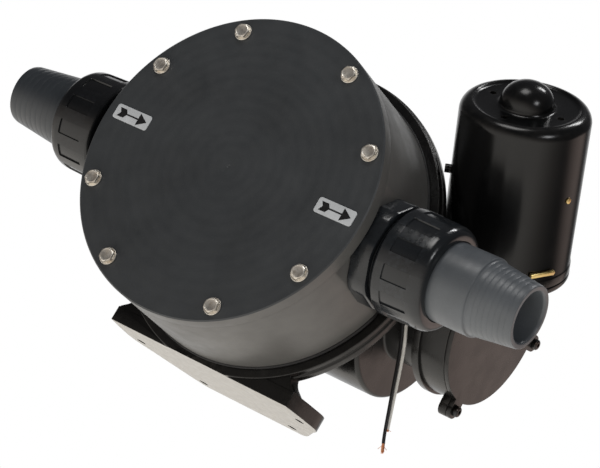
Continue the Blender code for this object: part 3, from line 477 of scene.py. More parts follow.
def boolean(ob, *others, op='DIFFERENCE', sharp=32.0, clean=True):
    """Exact booleans, written into the mesh at once; the other objects are removed."""
    for o in others:
        m = ob.modifiers.new("b", 'BOOLEAN')
        m.operation = op
        m.solver = 'EXACT'
        m.object = o
    dg = bpy.context.evaluated_depsgraph_get()
    me = bpy.data.meshes.new_from_object(ob.evaluated_get(dg))
    ob.modifiers.clear()
    old = ob.data
    ob.data = me
    bpy.data.meshes.remove(old)
    for o in others:
        d = o.data
        bpy.data.objects.remove(o, do_unlink=True)
        bpy.data.meshes.remove(d)
    bm = bmesh.new()
    bm.from_mesh(me)
    if clean:
        bmesh.ops.remove_doubles(bm, verts=bm.verts, dist=3e-6)
        bmesh.ops.dissolve_degenerate(bm, edges=bm.edges, dist=1e-7)
    for e in bm.edges:
        e.smooth = True
    for f in bm.faces:
        f.smooth = True
    bm.to_mesh(me)
    bm.free()
    me.set_sharp_from_angle(angle=math.radians(sharp))
    return ob


def union(ob, *others, sharp=32.0):
    return boolean(ob, *others, op='UNION', sharp=sharp)


def join(name, obs, mats=None):
    """One object from several, each keeping its own material."""
    bm = bmesh.new()
    slots = []
    for o in obs:
        start = len(bm.faces)
        idx = []
        for m in o.data.materials:
            if m not in slots:
                slots.append(m)
            idx.append(slots.index(m))
        bm.from_mesh(o.data)
        bm.faces.ensure_lookup_table()
        for f in bm.faces[start:]:
            f.material_index = idx[f.material_index] if idx and f.material_index < len(idx) else 0
    for o in obs:
        d = o.data
        bpy.data.objects.remove(o, do_unlink=True)
        bpy.data.meshes.remove(d)
    me = bpy.data.meshes.new(name)
    bm.to_mesh(me)
    bm.free()
    me.set_sharp_from_angle(angle=math.radians(32))
    ob = bpy.data.objects.new(name, me)
    bpy.context.scene.collection.objects.link(ob)
    for m in slots:
        me.materials.append(m)
    return ob


def put(ob, body, slot, *nodes):
    """Name the piece's body and the CAD nodes it stands for; the slot argument is not used."""
    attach(ob, body)
    if nodes:
        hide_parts(*nodes)
    return ob


def on_circle(r, deg, d):
    return P(r * math.cos(math.radians(deg)), d, AXIS_Z + r * math.sin(math.radians(deg)))


# ---------------------------------------------------------------- the two leads
def smooth_route(pts, step):
    dense = []
    p = [pts[0] * 2 - pts[1]] + pts + [pts[-1] * 2 - pts[-2]]
    for i in range(1, len(p) - 2):
        for k in range(24):
            t = k / 24.0
            a, b, c, d = p[i - 1], p[i], p[i + 1], p[i + 2]
            dense.append(0.5 * ((2 * b) + (c - a) * t + (2 * a - 5 * b + 4 * c - d) * t * t +
                                (-a + 3 * b - 3 * c + d) * t * t * t))
    dense.append(pts[-1])
    length = sum((dense[i + 1] - dense[i]).length for i in range(len(dense) - 1))
    n = max(8, int(round(length / (step * MM))))
    out, acc, j = [dense[0]], 0.0, 0
    for k in range(1, n):
        want = length * k / n
        while acc + (dense[j + 1] - dense[j]).length < want:
            acc += (dense[j + 1] - dense[j]).length
            j += 1
        seg = (dense[j + 1] - dense[j]).length
        out.append(dense[j].lerp(dense[j + 1], (want - acc) / seg))
    out.append(dense[-1])
    return out, length


def tube_into(bm, line, r, seg=8):
    """A round bar of varying radius along a line of points, capped at both ends."""
    rings = []
    side = None
    for i, p in enumerate(line):
        t = (line[min(i + 1, len(line) - 1)] - line[max(i - 1, 0)]).normalized()
        if side is None:
            side = basis(t)[1]
        side = (side - t * side.dot(t)).normalized()
        w = t.cross(side)
        rr = r if not callable(r) else r(i / (len(line) - 1))
        rings.append([bm.verts.new(p + (side * math.cos(math.tau * k / seg) + w * math.sin(math.tau * k / seg)) * rr)
                      for k in range(seg)])
    for i in range(len(rings) - 1):
        for k in range(seg):
            k2 = (k + 1) % seg
            bm.faces.new((rings[i][k], rings[i][k2], rings[i + 1][k2], rings[i + 1][k]))
    bm.faces.new(rings[0][::-1])
    bm.faces.new(rings[-1])


LEAD_E = (-X * 0.8 - N_AX * 0.6)
LEAD_O = WORM_O + M_AX * GROMMET_T * MM
LEAD_R = 1.42 * MM


def leads():
    black = [(106.2, 144.0, 167.0), (114.0, 148.0, 128.0), (127.0, 158.0, 91.0), (141.0, 162.0, 50.0),
             (152.0, 164.5, 19.0), (158.5, 165.0, 8.1)]
    white = [(110.8, 143.6, 162.0), (117.2, 149.0, 128.0), (129.8, 159.8, 91.0), (142.2, 165.0, 50.0),
             (150.0, 167.3, 25.0)]
    rnd = random.Random(4)
    for name, sg, base, bare_mm in (("lead_black", 1, black, 9.5), ("lead_white", -1, white, 3.0)):
        pts = [LEAD_O + LEAD_E * (MOTOR_R + h) * MM + M_AX * sg * 1.75 * MM for h in (-3.0, 0.0, 3.0, 6.0)]
        pts += [P(*q) for q in base]
        route, length = smooth_route(pts, 3.2)
        # the last few millimetres are stripped
        cut, acc = len(route) - 1, 0.0
        while acc < bare_mm * MM:
            acc += (route[cut] - route[cut - 1]).length
            cut -= 1
        line = route[:cut + 1]
        cu = bpy.data.curves.new(name + "_sheath", 'CURVE')
        cu.dimensions = '3D'
        sp = cu.splines.new('POLY')
        sp.points.add(len(line) - 1)
        for q, r in zip(sp.points, line):
            q.co = (r.x, r.y, r.z, 1.0)
        cu.bevel_depth = LEAD_R
        cu.bevel_resolution = 6
        cu.use_fill_caps = True
        ob = bpy.data.objects.new(name + "_sheath", cu)
        bpy.context.scene.collection.objects.link(ob)
        cu.materials.append(M[name])
        put(ob, "pump_body", name + "_pvc", name)
        # bare copper strands, twisted and slightly splayed
        bm = bmesh.new()
        end, tan = line[-1], (line[-1] - line[-3]).normalized()
        _, u, v = basis(tan)
        n = 22
        for k in range(n):
            t0 = math.tau * k / n
            r0 = (0.25 + 0.85 * (k % 4) / 3.0) * MM
            loose = k in (3, 9, 16)
            splay = ((1.6 + 1.5 * rnd.random()) if loose else (0.05 + 0.35 * rnd.random())) * MM
            ln = (bare_mm - 1.2) * ((0.45 + 0.2 * rnd.random()) if loose else (0.80 + 0.2 * rnd.random())) * MM
            pts2 = []
            for j in range(9):
                s = j / 8.0
                tt = t0 + s * 1.6
                rr = r0 + splay * s * s
                pts2.append(end + tan * (-1.0 * MM + s * (ln + 1.0 * MM)) + (u * math.cos(tt) + v * math.sin(tt)) * rr)
            tube_into(bm, pts2, 0.22 * MM, 6)
        st = finish_mesh(bm, name + "_strands", M["strand"], 60)
        put(st, "pump_body", "copper")
    gr = lathe("grommet", [(MOTOR_R - 4.2, 3.5), (MOTOR_R - 4.2, 5.0), (MOTOR_R + 0.7, 5.0), (MOTOR_R + 0.7, 7.0),
                           (MOTOR_R + 2.2, 6.6), (MOTOR_R + 3.0, 5.4), (MOTOR_R + 3.0, 3.5)],
               LEAD_E, LEAD_O, M["rubber"], 48, rnd=0.5)
    put(gr, "pump_body", "rubber", "lead_grommet")


# ---------------------------------------------------------------- drum and cover
def drum():
    holes = lambda h0, h1: cutters([(Y, on_circle(BOLT_PCR, a, 0), h0, h1, 3.4, 24) for a in BOLT_ANGLES])
    cover = lathe("cover_disc",
                  [(0.35, 0.0), (0.3, 0.7), (0.0, 1.5), (0.0, 60.0), (0.0, 128.9), (0.9, 130.0), (12.1, 130.0),
                   (12.15, 129.95), (12.15, 0.0)], Y, AX_O, M["cover"], 256, rnd=0.02)
    me = cover.data
    me.materials.append(M["drum"])
    boolean(cover, holes(-2, 14))
    # The cover's rim faces take the drum's lighter grey: painted light from below.
    for p in cover.data.polygons:
        if math.hypot(p.center.x, p.center.z - AXIS_Z * MM) > 0.12955:
            p.material_index = 1
    put(cover, "pump_body", "pvc_grey", "front_cover")
    gk = lathe("cover_gasket_ring", [(12.22, 108), (12.22, 129.97), (13.78, 129.97), (13.78, 108)], Y, AX_O,
               M["gasket_rim_painted_underlight"], 256, rnd=0)
    boolean(gk, holes(11, 15))
    put(gk, "pump_body", "rubber", "cover_gasket")
    sh = lathe("drum_body", [(13.85, 106.0), (13.85, 129.98), (14.0, 130.0), (60.0, 130.0), (99.0, 130.0), (99.5, 129.5),
                             (99.5, 106.0)], Y, AX_O, M["drum"], 256, rnd=0.02)
    flats = [box("flat", P(s * (FLAT_X + 10), 57, AXIS_Z), (20, 100, 110), None, bevel=0) for s in (1, -1)]
    boolean(sh, *flats)
    boolean(sh, cutters([(X, PORT_O, -140, 140, 30.4, 96)]), holes(10, 102))
    put(sh, "pump_body", "pvc_grey", "drum_shell")
    # tie bolts: chamfered hexagon head, washer and shank
    for i, ang in enumerate(BOLT_ANGLES):
        c = on_circle(BOLT_PCR, ang, 0)
        bm = bmesh.new()
        a, u, v = basis(Y)
        af, rc = 11.1, 5.2
        seg = 72

        def rh(t):
            k = (t - math.radians(7 * i)) % (math.pi / 3) - math.pi / 6
            return min(af / 2 / math.cos(k), 6.25)
        loops = []
        # (axial, radius rule): shallow dish, chamfer circle, hexagon, under the head, washer, shank
        for kind in range(12):
            ring = []
            for k in range(seg):
                t = math.tau * k / seg
                r6 = rh(t)
                top = -4.6 + max(0.0, r6 - rc) * math.tan(math.radians(30))
                h, r = [(-4.35, 4.0), (-4.45, 4.4), (-4.6, rc - 0.25), (-4.55, rc), (top, r6), (top + 0.35, r6 + 0.02),
                        (-1.45, r6 + 0.02), (-1.25, r6 - 0.2), (-1.22, 6.95), (-1.05, 7.2), (-0.42, 7.2),
                        (-0.3, 7.0)][kind]
                ring.append(bm.verts.new(c + a * (h * MM) + (u * math.sin(t) + v * math.cos(t)) * (r * MM)))
            loops.append(ring)
        ctr = bm.verts.new(c + a * (-4.33 * MM))
        shank = []
        for h, r in ((-0.3, 3.0), (60.0, 3.0), (119.5, 3.0), (121.0, 2.2)):
            shank.append([bm.verts.new(c + a * (h * MM) + (u * math.sin(math.tau * k / seg) + v * math.cos(math.tau * k / seg)) * (r * MM))
                          for k in range(seg)])
        loops += shank
        for p, q in zip(loops[:-1], loops[1:]):
            for k in range(seg):
                k2 = (k + 1) % seg
                bm.faces.new((p[k], p[k2], q[k2], q[k]))
        for k in range(seg):
            bm.faces.new((ctr, loops[0][(k + 1) % seg], loops[0][k]))
        bm.faces.new(loops[-1])
        bolt = finish_mesh(bm, "tie_bolt_%d" % (i + 1), M["stainless"], 24)
        put(bolt, "pump_body", "stainless", "cover_bolt_%d" % (i + 1))
    # arrow labels: thin vinyl with a raised printed arrow
    for tag, cx, cz in (("inlet", -104.0, 140.0), ("outlet", 105.0, 136.0)):
        c = P(cx, 0, cz)
        pts = []
        for x, z, a0 in ((15.6, 4.3, 0), (-15.6, 4.3, 90), (-15.6, -4.3, 180), (15.6, -4.3, 270)):
            pts += circle(x, z, 2.2, 8, a0, a0 + 90, True)
        plate = prism("plate", pts, Y, -0.62, -0.01, X, Z, c, M["vinyl"], 0.08, 2)
        shapes = [
            [(6.2, 5.4), (15.0, 0.0), (6.2, -5.4), (6.2, -0.65), (-6.0, -0.65), (-6.0, 0.65), (6.2, 0.65)],
            [(-5.8, 0.65), (-7.9, 3.8), (-14.4, 3.8), (-12.0, 0.0), (-14.4, -3.8), (-7.9, -3.8), (-5.8, -0.65)],
        ]
        parts = [plate]
        for k, s in enumerate(shapes):
            parts.append(prism("ink%d" % k, s, Y, -0.70, -0.60, X, Z, c, M["ink"], 0))
        lab = join(tag + "_label", parts)
        put(lab, "pump_body", "label", tag + "_arrow_label")


# ---------------------------------------------------------------- unions
def nut(tag, s, mat):
    """Union nut with a row of sunk panels between ribs, and a rounded shoulder."""
    ax = X * s
    panels = 12
    pw, tr = 7.8, 0.55            # half width of a panel and of its wall, degrees
    angles = []
    for i in range(panels):
        c0 = 360.0 * i / panels
        for o in (-pw - tr, -pw - tr * 0.55, -pw, -pw + 0.3, -4.5, 0.0, 4.5, pw - 0.3, pw, pw + tr * 0.55, pw + tr):
            angles.append((c0 + o, max(0.0, min(1.0, (pw + tr - abs(o)) / tr))))
        mid = c0 + 180.0 / panels
        angles.append((mid, 0.0))
    angles.sort()
    base = [(145.0, 38.5, 0), (145.0, 41.4, 0), (145.3, 42.2, 0), (146.2, 43.4, 0), (147.4, 44.1, 0),
            (150.0, 44.15, 0), (154.6, 44.0, 0), (154.9, 43.98, 0.5), (155.2, 43.97, 1), (155.6, 43.96, 1),
            (160.0, 43.9, 1), (167.0, 43.7, 1), (174.0, 43.5, 1), (177.4, 43.4, 1), (177.8, 43.38, 1),
            (178.1, 43.37, 0.5), (178.4, 43.36, 0), (181.5, 43.2, 0), (183.6, 42.95, 0), (185.2, 42.45, 0),
            (186.8, 41.6, 0), (188.2, 40.4, 0), (189.2, 38.9, 0), (189.8, 37.0, 0), (190.0, 35.2, 0), (190.0, 33.4, 0),
            (189.6, 32.85, 0), (158.0, 32.85, 0), (158.0, 38.5, 0), (156.9, 38.5, 0)]
    # internal thread rings
    h = 156.4
    while h > 146.5:
        base += [(h, 38.2, 0), (h - 0.6, 38.55, 0)]
        h -= 1.4
    a, u, v = basis(ax)
    bm = bmesh.new()
    rings = []
    for h, r, k in base:
        ring = []
        for ang, w in angles:
            t = math.radians(ang)
            rr = r - 1.15 * k * w
            ring.append(bm.verts.new(PORT_O + a * (h * MM) + (u * math.cos(t) + v * math.sin(t)) * (rr * MM)))
        rings.append(ring)
    m = len(angles)
    for i in range(len(rings)):
        p, q = rings[i], rings[(i + 1) % len(rings)]
        for k in range(m):
            k2 = (k + 1) % m
            bm.faces.new((p[k], p[k2], q[k2], q[k]))
    ob = finish_mesh(bm, tag + "_nut", mat, 28)
    put(ob, tag + "_nut", "pvc_dark", tag + "_union_nut")


def union_side(tag, s, shift, mat):
    ax = X * s
    j = -shift
    # octagon turned down at its corners, with a turned chamfer at the front
    lp = []
    for k in range(144):
        t = math.radians(2.5 * k)
        f = (2.5 * k - 17.0) % 45.0 - 22.5
        lp.append((t, min(COLLAR_AF / 2 / math.cos(math.radians(f)), COLLAR_R)))
    bm = bmesh.new()
    rows = []
    for h, cap, inset in ((FLAT_X + 0.3, 99.0, 0.3), (FLAT_X + 0.7, 99.0, 0.0), (138.6, 99.0, 0.0), (139.6, 99.0, 0.2),
                          (140.6, 99.0, 0.75), (141.0, 99.0, 1.5)):
        rows.append([bm.verts.new(PORT_O + ax * (h * MM) + (Y * math.cos(t) + Z * math.sin(t)) *
                                  ((min(r, cap) - inset) * MM)) for t, r in lp])
    for p, q in zip(rows[:-1], rows[1:]):
        for k in range(144):
            k2 = (k + 1) % 144
            bm.faces.new((p[k], p[k2], q[k2], q[k]))
    bm.faces.new(rows[0])
    bm.faces.new(rows[-1])
    col = finish_mesh(bm, tag + "_collar_body", mat, 32)
    sp = lathe("tube", cyl(104.0, 150.0, 29.9), ax, PORT_O, mat, 96, rnd=0.6)
    prof = [(126.0, 0.0), (126.0, 37.6), (141.2, 37.6)]
    h = 141.4
    while h < 148.6:
        prof += [(h, 37.9), (h + 0.5, 37.9), (h + 1.0, 36.8), (h + 1.3, 36.8)]
        h += 1.8
    prof += [(149.4, 37.2), (150.0, 36.4), (150.0, 0.0)]
    th = lathe("thread", prof, ax, PORT_O, mat, 96, rnd=0)
    union(col, sp, th)
    boolean(col, cutters([(ax, PORT_O, 90, 170, 24.1, 96)]))
    put(col, "pump_body", "pvc_dark", tag + "_collar")
    oring = []
    for k in range(20):
        t = math.tau * k / 20
        oring.append((151.75 + 1.45 * math.cos(t), 29.0 + 1.9 * math.sin(t)))
    o = lathe(tag + "_seal_ring", oring, ax, PORT_O, M["rubber"], 96, rnd=0)
    put(o, "pump_body", "rubber", tag + "_oring")
    # hose tail: flange, plain part, shoulder and barbs
    prof = [(150.4, 31.6), (150.4, 37.4), (150.8, 37.8), (157.0, 37.8), (157.4, 37.4), (157.4, 32.3)]
    if s > 0:
        prof += [(190.5, 32.3), (222.2, 32.3), (223.0, 32.1), (223.6, 31.5), (223.9, 30.8), (224.8, 30.5)]
        n, x0, x1 = 8, 225.2, TAIL_END - 1.6
        ra, rb = 30.7, 26.0
    else:
        prof += [(189.0, 32.3), (190.4, 32.25)]
        n, x0, x1 = 9, 191.0, TAIL_END - 1.6 + j
        ra, rb = 32.3, 26.0
    for i in range(n):
        xa = x0 + (x1 - x0) * i / n
        xb = x0 + (x1 - x0) * (i + 1) / n
        r = ra - (ra - rb) * (i + 0.35) / n
        k = (ra - rb) / n * 0.92
        prof += [(xa + 0.05, r - 0.14), (xa + 0.2, r - 0.03), (xa + 0.5, r), (xb - 0.3, r - k), (xb - 0.02, r - k - 0.10)]
    e = TAIL_END + j
    prof += [(e - 1.0, 25.5), (e - 0.35, 25.35), (e, 24.9), (e, 22.2), (e - 0.2, 21.7), (e - 1.6, 20.6), (e - 2.4, 20.4),
             (154.0, 20.4), (153.6, 20.8), (153.6, 31.6)]
    t = lathe(tag + "_tail", prof, ax, PORT_O, M["tail"] if s > 0 else M["tail_in"], 160, rnd=0, sharp=26)
    put(t, "pump_body", "pvc_grey", tag + "_hose_tail")
    nut(tag, s, mat)


def valves():
    for tag, x0, x1 in (("outlet", 106.0, 112.0), ("inlet", -112.0, -104.3)):
        seat = lathe(tag + "_seat", [(x0, 17.0), (x0, 23.7), (x1, 23.7), (x1, 18.6), (x1 - 0.8, 17.2)], X, PORT_O,
                     M["moulded"], 96, rnd=0.4)
        put(seat, "pump_body", "pvc_dark", tag + "_valve_seat")
    for tag, x in (("outlet", 112.3), ("inlet", -104.0)):
        pts = circle(0, 0, 19.2, 60, 110, 430, True) + [(6.0, 21.0), (-6.0, 21.0)]
        fl = prism(tag + "_flap_disc", pts, X, 0.0, 3.0, Y, Z, P(x, PORT_D, AXIS_Z), M["rubber"], 0.4)
        put(fl, tag + "_flap", "rubber", tag + "_valve_flap")


# ---------------------------------------------------------------- frame casting
def casting():
    c = AX_O
    ring = lathe("frame_casting_body",
                 [(RING_F, 100.0), (RING_F, 138.4), (109.0, 138.4), (109.6, RING_R), (116.5, RING_R),
                  (117.2, 134.5), (RING_B, 132.0), (RING_B + 6, 104.0), (RING_B + 6, 64.0), (CRANK_D - 20, 64.0),
                  (CRANK_D - 20, 57.0), (RING_B - 2, 57.0), (RING_B - 4, 100.0)],
                 Y, c, M["cast"], 256, rnd=1.0, n=4)
    case = lathe("case", [(CASE_X0, 0), (CASE_X0, CASE_R - 2.5), (CASE_X0 + 2.5, CASE_R), (CASE_X1 - 2.5, CASE_R),
                          (CASE_X1, CASE_R - 2.5), (CASE_X1, 45.0), (133.7, 45.0), (133.7, 0)],
                 X, CRANK_O, M["cast"], 144, rnd=2.4, n=4)
    union(ring, case)
    half = [(93.0, 105.0), (97.0, 125.0), (99.2, 143.0), (99.7, 147.0), (99.8, 151.0), (99.3, 155.0), (98.2, 159.0),
            (96.5, 163.0), (94.2, 167.0), (91.3, 171.0), (88.0, 175.0), (65.0, 212.0), (62.3, 216.2), (59.0, 220.0),
            (55.4, 223.4), (51.5, 226.0)]
    foot = prism("foot", half + [(-x, d) for x, d in reversed(half)], Z, 0.0, FOOT_T, X, Y, P(0, 0, 0), M["cast"], 0.7, 3)
    boolean(foot, cutters([(Z, P(s * 85.2, 150.0, 0), -5, 20, 4.2, 36) for s in (-1, 1)] +
                          [(Z, P(s * 48.5, 210.0, 0), -5, 20, 4.2, 36) for s in (-1, 1)]))
    union(ring, foot)
    side = [(91.0, 3.0), (92.5, 13.5), (90.6, 15.0), (88.5, 16.5), (86.3, 18.1), (84.5, 20.0), (82.9, 22.4), (82.0, 25.0),
            (81.8, 28.0), (82.5, 32.0), (70.0, 50.0)]
    web = prism("web", side + [(-x, z) for x, z in reversed(side)], Y, 105.7, 122.3, X, Z, P(0, 0, 0), M["cast"], 0.7, 3)
    union(ring, web)
    union(ring, prism("rib", [(118.0, 5.0), (118.0, 45.0), (135.0, 40.0), (185.0, 60.0), (216.0, 60.0), (216.0, 5.0)],
                      X, -6.0, 6.0, Y, Z, P(0, 0, 0), M["cast"], 1.2, 3))
    boolean(ring, box("under", P(0, 115, -10), (320, 60, 20), None, bevel=0))
    hollow = lathe("hollow", [(-120.0, 0), (-120.0, 50.9), (-70.0, 50.9), (-70.0, CASE_R - 7.0),
                              (88.0, CASE_R - 7.0), (88.0, 21.5), (140.0, 21.5), (140.0, 0)],
                   X, CRANK_O, M["cast"], 96, rnd=0)
    boolean(ring, hollow)
    boolean(ring, lathe("neck", cyl(RING_B - 1.5, CRANK_D, 55.5), Y, c, M["cast"], 96, phase=4.0, rnd=0))
    boolean(ring, cutters([(Y, on_circle(BOLT_PCR, a, 0), 99, 121.4, 3.5, 20) for a in BOLT_ANGLES]))
    # bare milled faces: the foot's underside
    me = ring.data
    me.materials.clear()
    me.materials.append(M["cast"])
    me.materials.append(M["milled"])
    for p in me.polygons:
        p.material_index = 1 if (p.center.z < 0.0005 and p.normal.z < -0.9) else 0
    put(ring, "pump_body", "black_paint", "frame_casting")
    cap = lathe("crankcase_end_cap", [(-98.0, 0), (-98.0, 14.0), (-96.8, 16.0), (-96.8, 40.0), (-98.0, 42.0), (-98.0, 52.0),
                                      (-96.5, 54.0), (-92.3, 54.0), (-92.3, 50.0), (-76.0, 50.0), (-76.0, 44.0),
                                      (-88.0, 44.0), (-88.0, 27.0), (-76.0, 27.0), (-76.0, 21.3), (-90.0, 21.3),
                                      (-90.0, 0)], X, CRANK_O, M["cast"], 128, rnd=0.8)
    put(cap, "pump_body", "black_paint", "crankcase_cap")
    a = P(104.6, 113.0, 231.6)
    b = WORM_O + M_AX * (a - WORM_O).dot(M_AX)
    dv = b - a
    ln = dv.length / MM
    e = ln - MOTOR_R - 0.6
    stay = lathe("motor_stay_bar", [(0, 0), (0, 3.6), (6.0, 3.6), (6.6, 3.1), (e - 4.0, 3.1), (e - 3.4, 3.6), (e, 3.6),
                                    (e, 0)], dv.normalized(), a, M["cast"], 48, rnd=0.4)
    put(stay, "pump_body", "black_paint", "motor_stay")
    # two small rivet heads on the front web
    for k, x in enumerate((49.6, 56.2)):
        r = lathe("web_rivet_%d" % (k + 1), [(0.0, 0.0), (-0.55, 0.0), (-0.5, 0.9), (-0.2, 1.5), (0.4, 1.7), (1.2, 1.7),
                                             (1.2, 0.0)][1:], Y, P(x, 105.6, 15.0), M["stainless"], 32, rnd=0)
        put(r, "pump_body", "stainless")


def diaphragm():
    prof = [(94.4, 5.5), (94.4, 52.0), (86.5, 68.0), (85.0, 76.0), (87.0, 84.0),
            (99.8, 100.0), (99.8, 131.2), (102.7, 131.2), (102.7, 102.0), (90.0, 85.0), (88.0, 76.0),
            (89.3, 69.5), (97.2, 53.0), (97.2, 5.5)]
    prof = rounded(prof, 6.0, 6)
    out = []
    for i, p in enumerate(prof):
        q = prof[(i + 1) % len(prof)]
        n = max(1, int(math.dist(p, q) / 3.0))
        out += [(p[0] + (q[0] - p[0]) * k / n, p[1] + (q[1] - p[1]) * k / n) for k in range(n)]
    d = lathe("diaphragm_sheet", out, Y, AX_O, M["rubber"], 144, rnd=0)
    boolean(d, cutters([(Y, on_circle(BOLT_PCR, a, 0), 95, 106, 3.4, 20) for a in BOLT_ANGLES]),
            box("flat", P(0, 100, -10), (320, 40, 20.6), None, bevel=0),
            box("flat_r", P(FLAT_X + 10, 100, AXIS_Z), (20, 40, 110), None, bevel=0),
            box("flat_l", P(-FLAT_X - 10, 100, AXIS_Z), (20, 40, 110), None, bevel=0))
    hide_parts("diaphragm")
    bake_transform(d, "pump_body", "diaphragm_centre", start=tuple(P(0, 99.0, AXIS_Z)), end=tuple(P(0, 94.0, AXIS_Z)))
    # the rim is clamped and the middle follows the plates: weight by distance from the axis
    att = d.data.attributes["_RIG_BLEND"]
    for v in d.data.vertices:
        r = math.hypot(v.co.x, v.co.z - AXIS_Z * MM) / MM
        t = max(0.0, min(1.0, (99.0 - r) / (99.0 - 53.0)))
        att.data[v.index].value = t * t * (3 - 2 * t)
    for tag, prof, holes in (
            ("front", [(88.6, 5.4), (88.6, 44.0), (90.0, 47.0), (94.1, 49.0), (94.1, 5.4)], 88),
            ("rear", [(97.5, 5.4), (97.5, 49.0), (101.5, 47.0), (103.0, 44.0), (103.0, 5.4)], 103)):
        p = lathe("centre_plate_" + tag, prof, Y, AX_O, M["bearing"], 96, rnd=0.8)
        put(p, "diaphragm_centre", "stainless", "diaphragm_plate_" + tag)
    cl = lathe("clevis", [(82.0, 0), (82.0, 9.0), (88.3, 9.0), (88.3, 5.0), (103.3, 5.0), (103.3, 15.0),
                          (112.0, 15.0), (116.0, 16.5), (116.0, 0)], Y, AX_O, M["steel"], 64, rnd=0.5)
    for s in (-1, 1):
        union(cl, box("cheek", P(s * 13.6, 131.0, AXIS_Z), (4.5, 38.0, 18.0), M["steel"], bevel=0.6))
    put(cl, "diaphragm_centre", "stainless", "rod_clevis")


# ---------------------------------------------------------------- crank, rod, bearings, worm
def ball_bearing(name, axis, centre, h0, h1, r0, r1, seg=96):
    """Deep-groove bearing: two races, a cage of balls and two shields sunk between them."""
    w = h1 - h0
    t = (r1 - r0)
    ri, ro = r0 + t * 0.28, r1 - t * 0.26
    mid = (h0 + h1) / 2
    parts = [lathe("a", [(h0, r0), (h0, ri), (h1, ri), (h1, r0)], axis, centre, M["bearing"], seg, rnd=0.35),
             lathe("b", [(h0, ro), (h0, r1), (h1, r1), (h1, ro)], axis, centre, M["bearing"], seg, rnd=0.35)]
    for k, hh in enumerate((h0 + w * 0.12, h1 - w * 0.12 - 0.4)):
        parts.append(lathe("s%d" % k, [(hh, ri + 0.15), (hh, ro - 0.1), (hh + 0.4, ro - 0.1), (hh + 0.4, ri + 0.15)],
                           axis, centre, M["steel"], seg, rnd=0))
    a, u, v = basis(axis)
    rb = min((ro - ri) / 2 - 0.05, w * 0.33)
    n = 9
    for k in range(n):
        q = math.tau * k / n
        bm = bmesh.new()
        bmesh.ops.create_icosphere(bm, subdivisions=2, radius=rb * MM)
        bmesh.ops.translate(bm, verts=bm.verts, vec=centre + a * (mid * MM) +
                            (u * math.cos(q) + v * math.sin(q)) * ((ri + ro) / 2 * MM))
        parts.append(finish_mesh(bm, "ball", M["bearing"]))
    return join(name, parts)


def crank():
    shaft = lathe("crank_shaft_body", [(-88.5, 0), (-88.5, 8.0), (-40.0, 8.0), (-40.0, 12.0), (84.0, 12.0), (84.0, 8.0),
                                       (161.0, 8.0), (161.0, 0)], X, CRANK_O, M["steel"], 64, rnd=0.8)
    ecc = lathe("ecc", cyl(-9.0, 9.0, 22.0), X, ECC_O, M["steel"], 96, rnd=0.5)
    wt = prism("weight", circle(0, 0, 34.0, 48, -80, 80, True) + [(4.0, 12.0), (4.0, -12.0)],
               X, 12.5, 22.0, Y, Z, CRANK_O, M["steel"], 0.8, 3)
    union(shaft, ecc, wt)
    put(shaft, "crank", "steel", "crankshaft")
    br = lathe("rod_bush", [(-8.5, 22.3), (-8.5, 27.5), (8.5, 27.5), (8.5, 22.3)], X, ECC_O, M["bronze"], 96, rnd=0.4)
    put(br, "rod", "bronze", "rod_bearing")
    rod = lathe("rod_body", [(-8.0, 27.8), (-8.0, 34.0), (8.0, 34.0), (8.0, 27.8)], X, ECC_O, M["alloy"], 96, rnd=0.8)
    sh = prism("rod_shank", [(-29.5, 9.0), (-54.0, 6.5), (-61.0, 6.5), (-61.0, -6.5), (-54.0, -6.5), (-29.5, -9.0)],
               X, -5.0, 5.0, Y, Z, ECC_O, M["alloy"], 1.2, 3)
    eye = lathe("rod_eye", cyl(-7.0, 7.0, 9.5), X, ECC_O - Y * 61 * MM, M["alloy"], 64, rnd=0.7)
    pin = lathe("rod_pin", cyl(-10.6, 10.6, 4.0), X, ECC_O - Y * 61 * MM, M["alloy"], 48, rnd=0.5)
    union(rod, sh, eye, pin)
    put(rod, "rod", "rod_alloy", "connecting_rod")
    for tag, x0 in (("left", -89.6), ("right", 90.0)):
        b = ball_bearing("main_bearing_" + tag, X, CRANK_O, x0, x0 + 12, 8.3, 21.0)
        put(b, "pump_body", "steel", "crank_bearing_" + tag)


def carried():
    """CAD parts that keep their own shape get a finished material."""
    for node, key in (("worm_wheel", "bronze"), ("worm_shaft", "steel")):
        o = NODES[node]
        for i in range(max(1, len(o.data.materials))):
            if len(o.data.materials) == 0:
                o.data.materials.append(M[key])
            else:
                o.data.materials[i] = M[key]


# ---------------------------------------------------------------- gearbox and motor
def house_outline(r, cut, n=96):
    lim = (cut * MM - (HOUSE_O - WORM_O).dot(M_AX)) / MM
    pts = []
    for y, z in circle(0, 0, r, n):
        if (z - y) * S2 > lim:
            w = math.sqrt(max(r * r - lim * lim, 0.0))
            q = max(-w, min(w, (y + z) * S2))
            pts.append((q * S2 - lim * S2, q * S2 + lim * S2))
        else:
            pts.append((y, z))
    out = []
    for p in pts:
        if not out or math.dist(p, out[-1]) > 0.5:
            out.append(p)
    res = []
    for i, p in enumerate(out):
        a, b = out[i - 1], out[(i + 1) % len(out)]
        if abs((p[0] - a[0]) * (b[1] - a[1]) - (p[1] - a[1]) * (b[0] - a[0])) > 0.004:
            res.append(p)
    return res


